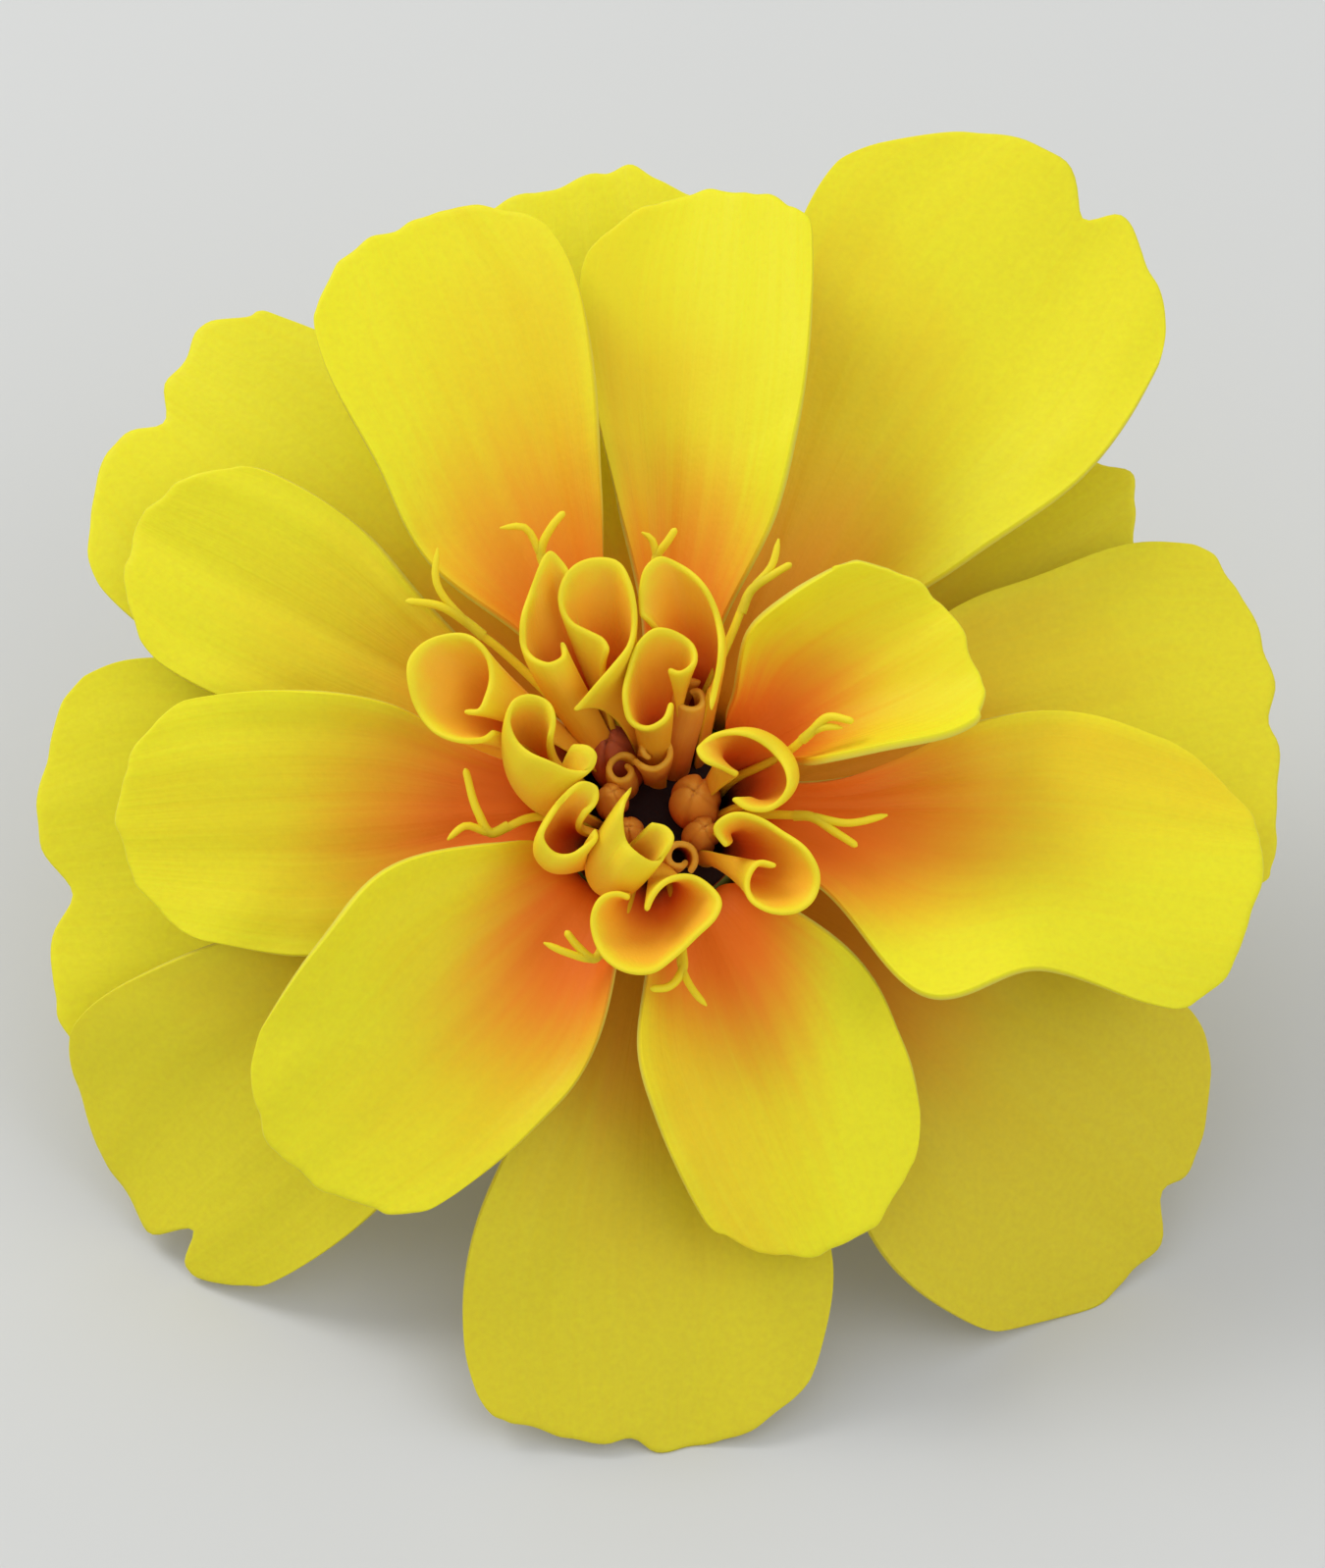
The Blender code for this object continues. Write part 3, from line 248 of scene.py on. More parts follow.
# Forked styles: the bare stalk, which forks at its second point and goes on to the first tip, and
# the branch to the second tip. Each rises from the disc at a foot and a neck, and has round tips.
STYLES = (
    (((-7.2, 6.8, 5.6), (-8.8, 8.0, 6.2), (-10.2, 9.8, 7.2), (-10.1, 11.2, 7.6)),
     ((-10.0, 8.6, 6.8), (-11.6, 8.8, 7.0))),
    (((-4.2, 9.0, 6.2), (-5.3, 11.0, 7.0), (-6.1, 12.2, 7.6), (-7.2, 12.1, 7.8)),
     ((-4.8, 12.2, 7.6), (-4.2, 12.9, 7.8))),
    (((0.2, 8.0, 5.8), (0.1, 11.0, 6.8), (-0.2, 11.8, 7.2), (-0.6, 12.0, 7.4)),
     ((0.6, 11.6, 7.2), (1.0, 12.2, 7.4))),
    (((3.6, 7.4, 6.2), (4.5, 9.4, 6.6), (5.5, 10.6, 6.8), (5.8, 11.8, 7.0)),
     ((5.5, 10.1, 6.8), (6.4, 10.6, 7.0))),
    (((6.5, 1.9, 6.8), (7.2, 2.4, 7.4), (8.0, 2.6, 7.9), (8.7, 2.5, 8.1)),
     ((8.0, 3.0, 8.1), (9.2, 2.7, 8.6))),
    (((5.8, -1.0, 5.2), (7.2, -1.2, 5.8), (9.0, -1.6, 6.2), (10.8, -1.3, 6.6)),
     ((8.4, -2.0, 6.0), (9.4, -2.7, 6.2))),
    (((-6.0, -1.2, 5.2), (-7.6, -1.9, 5.4), (-8.8, -1.7, 6.0), (-9.6, -2.4, 6.2)),
     ((-8.2, -1.0, 5.8), (-8.8, 1.0, 6.2))),
    (((-1.6, -6.2, 5.8), (-2.8, -8.0, 6.2), (-4.0, -7.8, 6.6), (-5.1, -7.4, 7.0)),
     ((-3.6, -7.4, 6.5), (-4.1, -6.8, 6.8))),
    (((1.2, -6.4, 5.0), (1.3, -8.4, 5.6), (1.9, -9.6, 6.0), (2.4, -10.2, 6.2)),
     ((0.6, -9.3, 6.0), (-0.2, -9.4, 6.2))),
)
STYLE_FOOT = 3.0
STYLE_NECK = (3.8, 3.2)
STYLE_TIP = 0.93

# Softness and mean height of a crease, as shares of the petal's half width, and how far out on the
# petal the creases are full.
CREASE_WIDTH = 0.08
CREASE_MEAN = 0.4
CREASE_START = 6.0

# Along a petal, as shares of its length: where its cupping and its roll are full, and the point
# that the waves of its ruffle run round. The ruffle is full at 1 / RUFFLE_START of the length.
CUP_START = 0.18
ROLL_START = 0.5
RUFFLE_CENTRE = 0.45
RUFFLE_START = 2.2

# The waves of a petal's cut edge, its pleats, how far out they are full, and its fluted margin.
EDGE_WAVES = (9, 17, 29)
PLEATS = (2.1, 3.7, 6.3)
PLEAT_START = 5.0
FLUTES = (7, 13)

# Folds of a closed bud: count, twist, width and depth, and how far they and its crown dip in.
BUD_RIDGES = 4
BUD_TWIST = 1.6
FOLD_WIDTH = 0.20
FOLD_DEPTH = 0.13
FOLD_DIP = 0.18
CROWN_DIP = 0.20

# Grooves between the bracts, their teeth and fine ribs, the cup's round heel, and its oil glands.
GROOVE_WIDTH = 0.12
GROOVE_DEPTH = 0.14
TOOTH_LEAN = 0.3
FINE_RIBS = 5
HEEL = 0.35
GLAND_ROWS = 4
GLAND_STEP = 2.1
GLAND_LENGTH = 0.8
GLAND_WIDTH = 0.26

# Furrows of the stem, and how far its top flares to meet the cup.
STEM_FURROWS = 7
FURROW_DEPTH = 0.07
STEM_FLARE = 0.24

# How finely the pieces are drawn.
PATH_STEPS = 700
CURVE_STEPS = 400
PETAL_COLUMNS = 34
CLAW_ROWS = 6
LIMB_ROWS = 44
FLORET_COLUMNS = 60
FLORET_ROWS = 20
YOUNG_COLUMNS = 34
YOUNG_ROWS = 12
BUD_DETAIL = 5
STYLE_STEPS = 40
DOME_STEPS = 10
DISC_SEGMENTS = 96
CUP_SEGMENTS = 192
CUP_ROWS = 44
STEM_SEGMENTS = 64
STEM_ROWS = 24

# The camera stands off the head along its line of sight, in the head's frame.
CAMERA_TILT = 12.0
CAMERA_DISTANCE = 300.0
AIM_RIGHT = 0.372
AIM_UP = 1.535
VIEW_HEIGHT = 74.33
SENSOR_HEIGHT = 36.0

# The room, in metres: half the floor's side, each light's place, size and power, where they aim,
# and the tint and strength of the light all round.
FLOOR_HALF = 3.0
LIGHTS = {
    "key": ((-0.34, 0.24, 0.46), 0.28, 1.4),
    "fill": ((0.40, -0.25, 0.40), 0.40, 0.5),
}
LIGHT_AIM = (0.0, 0.0, 0.02)
ROOM_TINT = (0.95, 0.97, 1.0, 1.0)
ROOM_STRENGTH = 0.79

# Tones that stay as they are: a petal's underside and its veins there, the bracts' dry tips and
# their oil glands.
UNDERSIDE = (0.72, 0.66, 0.22, 1)
UNDER_VEIN = (0.50, 0.42, 0.06, 1)
DRY_TIP = (0.32, 0.20, 0.05, 1)
GLAND = (0.25, 0.13, 0.02, 1)


def colour(name, description, default):
    """A colour that a user may change."""
    return FloatVectorProperty(name=name, description=description, subtype="COLOR", size=3,
                               min=0.0, max=1.0, default=default)


def length(name, description, default):
    """A length that a user may change, in metres."""
    return FloatProperty(name=name, description=description, subtype="DISTANCE", unit="LENGTH",
                         min=0.0, precision=5, default=default)


class MarigoldSizes(bpy.types.PropertyGroup):
    """Sizes of the fine pieces."""
    petal_thickness: length("Petal thickness", "Thickness of a petal blade", 0.00038)
    pleat_depth: length("Pleat depth", "Depth of the soft pleats along a petal", 0.00009)
    edge_ripple: length("Edge ripple", "Unevenness of a petal's margin", 0.00012)
    floret_thickness: length("Floret thickness", "Thickness of a rolled floret's wall", 0.00030)
    style_radius: length("Style radius", "Radius of a forked style", 0.00022)
    gland_height: length("Gland height", "Relief of the oil glands on the cup", 0.00010)


class MarigoldColours(bpy.types.PropertyGroup):
    """Colours of the tissues."""
    yellow: colour("Yellow", "Fresh yellow of a petal's margins and tip", (0.83, 0.76, 0.017))
    # Gold is the petals' own warmer yellow round the patch, and is also leant onto one side of
    # some petals as painted shade.
    gold_and_shade: colour("Gold", "Warmer yellow round the orange patch", (0.84, 0.58, 0.016))
    # Mustard is partly the duller yellow of older petals and partly painted shade on petals that
    # lie in shadow.
    mustard_and_shade: colour("Mustard", "Duller yellow of the older outer petals", (0.62, 0.47, 0.026))
    orange: colour("Orange", "Patch at the petal bases", (0.88, 0.20, 0.014))
    apricot: colour("Apricot", "Inside of the rolled florets", (0.94, 0.48, 0.028))
    ember: colour("Ember", "Depth of the rolled florets", (0.90, 0.17, 0.022))
    lip: colour("Lip", "Lip of the rolled florets", (0.87, 0.68, 0.022))
    honey: colour("Honey", "Outside of the rolled florets", (0.92, 0.50, 0.026))
    bud: colour("Bud", "Unopened florets", (0.84, 0.36, 0.045))
    young: colour("Young", "Florets that have just begun to unroll", (0.86, 0.46, 0.045))
    # Painted shade: a darker copy of the bud colour, for the bud that lies deepest.
    shaded_bud: colour("Shaded bud", "The bud furthest down the well", (0.50, 0.12, 0.045))
    # Painted shade: near black laid low inside the florets, on the low part of each bud and over
    # the top of the dome.
    painted_shade: colour("Well", "Dark depth among the florets", (0.022, 0.006, 0.005))
    green: colour("Green", "Cup and stem", (0.085, 0.17, 0.030))
    pale_green: colour("Pale green", "Ribs and cut end", (0.30, 0.42, 0.12))
    floor: colour("Floor", "Plain pale floor", (0.62, 0.62, 0.60))


def smooth(x):
    """Ease from 0 to 1."""
    x = np.clip(x, 0.0, 1.0)
    return x * x * (3.0 - 2.0 * x)


def through(x, stations, values):
    """A smooth curve through the values at the stations."""
    stations = np.asarray(stations, float)
    values = np.asarray(values, float)
    slopes = np.gradient(values, stations)
    i = np.clip(np.searchsorted(stations, x) - 1, 0, len(stations) - 2)
    step = stations[i + 1] - stations[i]
    f = np.clip((x - stations[i]) / step, 0.0, 1.0)
    start = (1 + 2 * f) * (1 - f) ** 2 * values[i] + f * (1 - f) ** 2 * step * slopes[i]
    end = f * f * (3 - 2 * f) * values[i + 1] + f * f * (f - 1) * step * slopes[i + 1]
    return start + end


def running_sum(values):
    """The area gathered under a row of values, by the trapezoid rule."""
    return np.concatenate([[0], np.cumsum((values[1:] + values[:-1]) / 2)])


def lengths(points):
    """How far along a row of points each one lies."""
    return np.concatenate([[0], np.cumsum(np.linalg.norm(np.diff(points, axis=0), axis=1))])


def resample(points, count):
    """Evenly spaced points along a smooth curve through the given ones."""
    points = np.asarray(points, float)
    spans = lengths(points)
    fine = np.linspace(0, spans[-1], CURVE_STEPS)
    curve = np.stack([through(fine, spans, line) for line in points.T], 1)
    run = lengths(curve)
    at = np.linspace(0, run[-1], count)
    return np.stack([np.interp(at, run, line) for line in curve.T], 1)


def head_place():
    """The lean and place of the head's own frame, found from the box of the cut stem."""
    low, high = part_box("stem")
    lean = Matrix.Rotation(math.radians(LEAN), 4, "X")
    rims = [lean @ Vector((0, radius, height)) * MM
            for radius, height in ((STEM_NECK, STEM_TOP), (STEM_RADIUS, STEM_END))]
    shift = Vector(((low.x + high.x) / 2,
                    high.y - max(point.y for point in rims),
                    high.z - max(point.z for point in rims)))
    return Matrix.Translation(shift) @ lean


PLACE = head_place()


def on_table(points):
    """Points of the head's frame in millimetres, leaned onto the table in metres."""
    points = np.asarray(points, float).reshape(-1, 3) * MM
    placed = points @ np.array(PLACE.to_3x3()).T + np.array(PLACE.translation)
    placed[:, 2] = np.maximum(placed[:, 2], 0.0)
    return placed


def petal_outline(petal, depth, sizes, rng):
    """The grid of a petal: the share of the half width at each column, the share of the limb at
    each row, and how far out from the ring each point lies. The claw's rows lie below the ring."""
    angle = np.radians(np.linspace(-90.0, 90.0, PETAL_COLUMNS + 1))
    across = np.sin(angle)
    left_tip, right_tip = petal["tip"]
    rounding = np.where(across > 0, left_tip, right_tip) * (1 - np.cos(angle))
    notch = np.zeros_like(angle)
    for centre, deep, width in petal["notches"]:
        notch += deep * np.exp(-(((np.degrees(angle) - centre) / width) ** 2))
    for waves in EDGE_WAVES:
        height = sizes.edge_ripple / MM * EDGE_WAVES[0] / waves
        notch += height * np.sin(waves * angle + rng.uniform(0, 2 * math.pi))
    claw = -depth * (1 - np.linspace(0, 1, CLAW_ROWS + 1)[:-1])
    limb = np.linspace(0, 1, LIMB_ROWS + 1)[:, None]
    along = np.concatenate([
        np.repeat(claw[:, None], len(angle), 1),
        petal["length"] * limb * (1 - rounding * limb ** 3) - notch * limb ** 6,
    ])
    rows = np.concatenate([np.zeros(CLAW_ROWS), limb[:, 0]])[:, None]
    return across, rows, along


def midrib(petal, ring, depth, along):
    """How far out and up the midrib has come at each distance along it, and how steep it is there:
    up the claw, over the arch and out along the limb."""
    path = np.linspace(-depth, petal["length"] * 1.05, PATH_STEPS)
    limb = smooth((path - ring["arch"]) / (petal["length"] - ring["arch"]))
    limb_angle = petal["rise"] + (petal["fall"] - petal["rise"]) * limb
    slope = np.where(path < 0, 90.0, 90 + (limb_angle - 90) * smooth(path / ring["arch"]))
    slope = np.radians(slope)
    step = path[1] - path[0]
    out = ring["root"] + running_sum(np.cos(slope)) * step
    up = CLAW_FOOT + running_sum(np.sin(slope)) * step
    return [np.interp(along, path, line) for line in (out, up, slope)]


def cross_section(petal, ring, claw, along, share, offset, half):
    """How far to the side and up the points of the cross-section lie: an arc that follows the ring
    at the claw and opens out along the limb."""
    base, middle, end = petal["cup"]
    cup = np.where(share < 0.5, base + (middle - base) * smooth(share * 2),
                   middle + (end - middle) * smooth(share * 2 - 1))
    ring_bend = math.degrees(claw / ring["root"])
    cup = ring_bend + (cup - ring_bend) * smooth(along / (CUP_START * petal["length"]))
    bend = np.radians(cup) / half
    bend = np.where(np.abs(bend) < 1e-6, 1e-6, bend)
    return np.sin(bend * offset) / bend, (1 - np.cos(bend * offset)) / bend


def petal_relief(petal, across, rows, along, share, offset, sizes, rng):
    """Height of a petal's relief: the ruffle, the soft pleats that run out from the claw, the
    fluted margin and the creases."""
    swing, waves, phase = petal["ruffle"]
    round_tip = np.arctan2(offset, along - RUFFLE_CENTRE * petal["length"])
    margin = 1 - (1 - np.abs(across) ** 3) * (1 - rows ** 5)
    ruffle = np.sin(waves * round_tip + math.radians(phase))
    relief = swing * margin * smooth(share * RUFFLE_START) * ruffle
    for count in PLEATS:
        depth = sizes.pleat_depth / MM * PLEATS[0] / count
        turn = 2 * math.pi * (count * across / 2 + rng.uniform())
        relief += depth * np.sin(turn) * smooth(along / PLEAT_START) * (1 - 0.4 * rows)
    for waves in FLUTES:
        depth = sizes.edge_ripple / MM * FLUTES[0] / waves
        turn = waves * round_tip + rng.uniform(0, 2 * math.pi)
        relief += depth * margin * smooth(share * 2 - 0.4) * np.sin(turn)
    for where, steep in petal.get("creases", ()):
        beside = np.sqrt((across - where) ** 2 + CREASE_WIDTH ** 2) - CREASE_WIDTH
        relief += steep * (beside - CREASE_MEAN) * smooth(along / CREASE_START)
    return relief


def petal_grid(petal, ring, seed, sizes):
    """Rows of points over a petal from the foot of its claw to its tip, and where each one lies:
    its offset from the midrib, its distance out, and its share of the half width."""
    rng = np.random.default_rng(seed)
    depth = ring["exit"] - petal.get("sink", 0.0) - CLAW_FOOT
    across, rows, along = petal_outline(petal, depth, sizes, rng)
    share = np.clip(along / petal["length"], 0, 1)

    claw = petal.get("claw", CLAW_HALF)
    left, right = (through(share, WIDTH_STATIONS, (claw,) + widths + (widths[-1],))
                   for widths in (petal["left"], petal["right"]))
    half = claw + (np.where(across > 0, left, right) - claw) * smooth(along / CLAW_SPREAD)
    offset = across * half

    side, lift = cross_section(petal, ring, claw, along, share, offset, half)
    lift = lift + petal_relief(petal, across, rows, along, share, offset, sizes, rng)
    roll = np.radians(petal["roll"]) * smooth(along / (ROLL_START * petal["length"]))
    sway = petal.get("sway", 0.0) * share ** 2
    turned_side = side * np.cos(roll) - lift * np.sin(roll) + sway
    turned_lift = side * np.sin(roll) + lift * np.cos(roll)

    out, up, slope = midrib(petal, ring, depth, along)
    azimuth = math.radians(petal["azimuth"])
    outward = np.array([math.cos(azimuth), math.sin(azimuth), 0.0])
    leftward = np.array([-math.sin(azimuth), math.cos(azimuth), 0.0])
    upward = np.array([0.0, 0.0, 1.0])
    points = ((out - turned_lift * np.sin(slope))[..., None] * outward
              + (up + turned_lift * np.cos(slope))[..., None] * upward
              + turned_side[..., None] * leftward)
    return points, np.stack([offset, along, across + 0 * along], -1)


def tilted(circle, turn, share):
    """A ring of directions turned by a share of a rotation."""
    part = Quaternion().slerp(turn, share).to_matrix()
    return circle @ np.array(part).T


def floret_grid(floret, columns, rows):
    """Rows of points over a rolled floret from its foot to its mouth, where each one lies (its
    share of the way round and of the way up), and whether the sheet's first face looks out."""
    edge = resample(floret["mouth"], columns + 1)
    way = np.linspace(0, 1, columns + 1)
    centre = edge.mean(0)
    wave = np.sin(2 * math.pi * LIP_WAVES * way + LIP_TURN * floret["foot"][0])
    height = floret["height"] + (edge - centre) @ np.asarray(floret["slope"])
    height += floret.get("wave", LIP_WAVE) * wave
    height -= MARGIN_DROP * smooth(np.abs(2 * way - 1) * 4 - 3)
    mouth = np.column_stack([edge, height])

    gap = (edge[0] + edge[-1]) / 2 - centre
    turn = edge - centre
    area = np.sum(turn[:-1, 0] * turn[1:, 1] - turn[1:, 0] * turn[:-1, 1])
    sense = 1.0 if area > 0 else -1.0
    start = math.degrees(math.atan2(gap[1], gap[0])) + sense * (360.0 - FOOT_SWEEP) / 2
    angle = np.radians(start + sense * FOOT_SWEEP * way)
    circle = np.column_stack([np.cos(angle), np.sin(angle), np.zeros_like(angle)])
    foot = np.array([*floret["foot"], -FOOT_SINK]) + FOOT_RADIUS * circle
    neck = np.array([*floret["foot"], floret.get("neck", NECK_HEIGHT)])
    turn = Vector((0, 0, 1)).rotation_difference(Vector(mouth.mean(0) - neck))
    neck = neck + FOOT_RADIUS * tilted(circle, turn, NECK_TILT)
    belly = np.asarray(floret["belly"]) + floret["radius"] * tilted(circle, turn, BELLY_TILT)

    v = np.linspace(0, 1, rows + 1)[:, None, None]
    lower = (1 - v) ** 3 * foot + 3 * v * (1 - v) ** 2 * neck
    points = lower + 3 * v ** 2 * (1 - v) * belly + v ** 3 * mouth
    high = v[:, :, 0] + 0 * way
    return points, np.stack([way + 0 * high, high, 0 * high], -1), sense > 0


def new_piece(name, mesh, surface):
    """Link a finished mesh as a piece with its surface, shaded smooth."""
    mesh.materials.clear()
    mesh.materials.append(surface)
    for polygon in mesh.polygons:
        polygon.use_smooth = True
    piece = bpy.data.objects.new(name, mesh)
    bpy.context.scene.collection.objects.link(piece)
    return piece


def mesh_of(name, bm):
    """A new mesh with a bmesh's faces; the bmesh is freed."""
    mesh = bpy.data.meshes.new(name)
    bm.to_mesh(mesh)
    bm.free()
    return mesh


def apply_modifiers(piece):
    """Bake a piece's modifiers into its mesh."""
    with bpy.context.temp_override(object=piece, active_object=piece, selected_objects=[piece]):
        for modifier in list(piece.modifiers):
            bpy.ops.object.modifier_apply(modifier=modifier.name)


def hand_over(piece, node):
    """Give a finished piece to the frame: it rides on the root and stands for its node."""
    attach(piece, "root")
    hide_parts(node)


def sheet(name, points, place, thickness, surface):
    """A thin closed sheet with round edges over a grid of points. Each point keeps its place on
    the sheet, and "face" says which side it is on: 0 where the grid's own normals point."""
    rows, columns = points.shape[0] - 1, points.shape[1] - 1
    table = on_table(points).reshape(points.shape)
    bm = bmesh.new()
    bmesh.ops.create_grid(bm, x_segments=columns, y_segments=rows, size=1.0)
    kept = bm.verts.layers.float_vector.new("place")
    for vertex in bm.verts:
        i = round((vertex.co.x + 1) / 2 * columns)
        j = round((vertex.co.y + 1) / 2 * rows)
        vertex.co = table[j, i]
        vertex[kept] = place[j, i]
    piece = new_piece(name, mesh_of(name, bm), surface)
    single = len(piece.data.vertices)
    solid = piece.modifiers.new("thickness", "SOLIDIFY")
    solid.thickness = thickness
    solid.offset = 0.0
    apply_modifiers(piece)
    face = piece.data.attributes.new("face", "FLOAT", "POINT")
    face.data.foreach_set("value", [0.0] * single + [1.0] * (len(piece.data.vertices) - single))
    round_edges = piece.modifiers.new("round edges", "SUBSURF")
    round_edges.levels = 1
    apply_modifiers(piece)
    for vertex in piece.data.vertices:
        vertex.co.z = max(vertex.co.z, 0.0)
    return piece


def turned(profile, segments):
    """A closed mesh of revolution about +Z, in millimetres of the head's frame, from pairs of
    radius and height that start and end on the axis."""
    bm = bmesh.new()
    angles = np.linspace(0, 2 * math.pi, segments, endpoint=False)
    circle = np.column_stack([np.cos(angles), np.sin(angles)])
    rings = []
    for radius, height in profile:
        if radius == 0.0:
            rings.append([bm.verts.new((0.0, 0.0, height))] * segments)
        else:
            rings.append([bm.verts.new((*point, height)) for point in radius * circle])
    for low, high in zip(rings, rings[1:]):
        for k in range(segments):
            corners = dict.fromkeys((low[k - 1], low[k], high[k], high[k - 1]))
            bm.faces.new(list(corners))
    bmesh.ops.recalc_face_normals(bm, faces=bm.faces[:])
    return bm


def turned_piece(name, bm, surface):
    """Lean a finished body of revolution onto the table as a piece."""
    placed = on_table([vertex.co for vertex in bm.verts])
    for vertex, point in zip(bm.verts, placed):
        vertex.co = point
    return new_piece(name, mesh_of(name, bm), surface)


class Field:
    """A value that varies over a surface, as a socket of a node tree. Sums, differences, products
    and quotients of fields and numbers are fields."""

    def __init__(self, tree, socket):
        self.tree = tree
        self.socket = socket

    def __add__(self, other):
        return calc("ADD", self, other)

    def __sub__(self, other):
        return calc("SUBTRACT", self, other)

    def __mul__(self, other):
        return calc("MULTIPLY", self, other)

    def __truediv__(self, other):
        return calc("DIVIDE", self, other)

    def __rtruediv__(self, other):
        return calc("DIVIDE", other, self)


def put(tree, kind, inputs=(), **settings):
    """Add a node: settings are its properties, inputs its sockets by name or number."""
    node = tree.nodes.new(kind)
    for key, value in settings.items():
        setattr(node, key, value)
    for key, value in dict(inputs).items():
        if isinstance(value, Field):
            tree.links.new(value.socket, node.inputs[key])
        else:
            node.inputs[key].default_value = value
    return node


def made(output, kind, inputs, **settings):
    """The output, by name or number, of a new node that at least one field goes into."""
    tree = next(value.tree for value in dict(inputs).values() if isinstance(value, Field))
    return Field(tree, put(tree, kind, inputs, **settings).outputs[output])


def calc(operation, *values):
    """Arithmetic on fields and numbers."""
    return made(0, "ShaderNodeMath", dict(enumerate(values)), operation=operation)


def limited(field):
    """A field held between 0 and 1."""
    return made(0, "ShaderNodeClamp", {0: field})


def ease(field, low, high, start=0.0, end=1.0):
    """A field eased from start to end as it goes from low to high."""
    inputs = {"Value": field, "From Min": low, "From Max": high, "To Min": start, "To Max": end}
    return made(0, "ShaderNodeMapRange", inputs, interpolation_type="SMOOTHSTEP")


def blend(factor, first, second):
    """Two colours mixed."""
    return made(2, "ShaderNodeMix", {0: factor, 6: first, 7: second}, data_type="RGBA")


def vector(x, y, z):
    """Three fields or numbers as one vector."""
    return made(0, "ShaderNodeCombineXYZ", {0: x, 1: y, 2: z})


def noise(place, scale, detail):
    """Soft noise from 0 to 1."""
    return made("Fac", "ShaderNodeTexNoise", {"Vector": place, "Scale": scale, "Detail": detail})


class Effect:
    """A shader node group being built. Its inputs are read, and its outputs set, by name."""

    def __init__(self, name, inputs, outputs):
        self.tree = bpy.data.node_groups.new(name, "ShaderNodeTree")
        for label, default in inputs.items():
            kind = "NodeSocketColor" if isinstance(default, tuple) else "NodeSocketFloat"
            socket = self.tree.interface.new_socket(label, in_out="INPUT", socket_type=kind)
            socket.default_value = default
        for label in outputs:
            kind = "NodeSocketColor" if label == "Color" else "NodeSocketFloat"
            self.tree.interface.new_socket(label, in_out="OUTPUT", socket_type=kind)
        self.given = self.tree.nodes.new("NodeGroupInput")
        self.result = self.tree.nodes.new("NodeGroupOutput")

    def __getitem__(self, label):
        return Field(self.tree, self.given.outputs[label])

    def __setitem__(self, label, field):
        self.tree.links.new(field.socket, self.result.inputs[label])

    def place(self):
        """The three numbers that a mesh keeps in "place" for each point."""
        kept = put(self.tree, "ShaderNodeAttribute", attribute_name="place")
        split = put(self.tree, "ShaderNodeSeparateXYZ",
                    {0: Field(self.tree, kept.outputs["Vector"])})
        return [Field(self.tree, socket) for socket in split.outputs]

    def face(self):
        """Which side of a sheet a point is on."""
        kept = put(self.tree, "ShaderNodeAttribute", attribute_name="face")
        return Field(self.tree, kept.outputs["Fac"])

    def skin(self, **inputs):
        """The cloud and the grain of the plant skin."""
        labels = {name.replace("_", " "): value for name, value in inputs.items()}
        node = put(self.tree, "ShaderNodeGroup", labels, node_tree=once("plant skin", skin_effect))
        return Field(self.tree, node.outputs["Cloud"]), Field(self.tree, node.outputs["Grain"])


def once(name, build):
    """The node group of that name, built the first time that it is asked for."""
    return bpy.data.node_groups.get(name) or build(name)


def skin_effect(name):
    """Fine skin shared by all the tissues: a cell grain and faint cloudy patches."""
    effect = Effect(name, {"Grain Size": 0.3, "Cloud Size": 6.0, "Seed": 0.0}, ("Grain", "Cloud"))
    place = put(effect.tree, "ShaderNodeTexCoord").outputs["Object"]
    millimetres = made(0, "ShaderNodeVectorMath", {0: Field(effect.tree, place), 3: 1 / MM},
                       operation="SCALE")
    shift = vector(effect["Seed"] * 31.7, 0.0, 0.0)
    seeded = made(0, "ShaderNodeVectorMath", {0: millimetres, 1: shift}, operation="ADD")
    effect["Grain"] = noise(seeded, 1.0 / effect["Grain Size"], 1.0)
    effect["Cloud"] = noise(seeded, 1.0 / effect["Cloud Size"], 3.0)
    return effect.tree


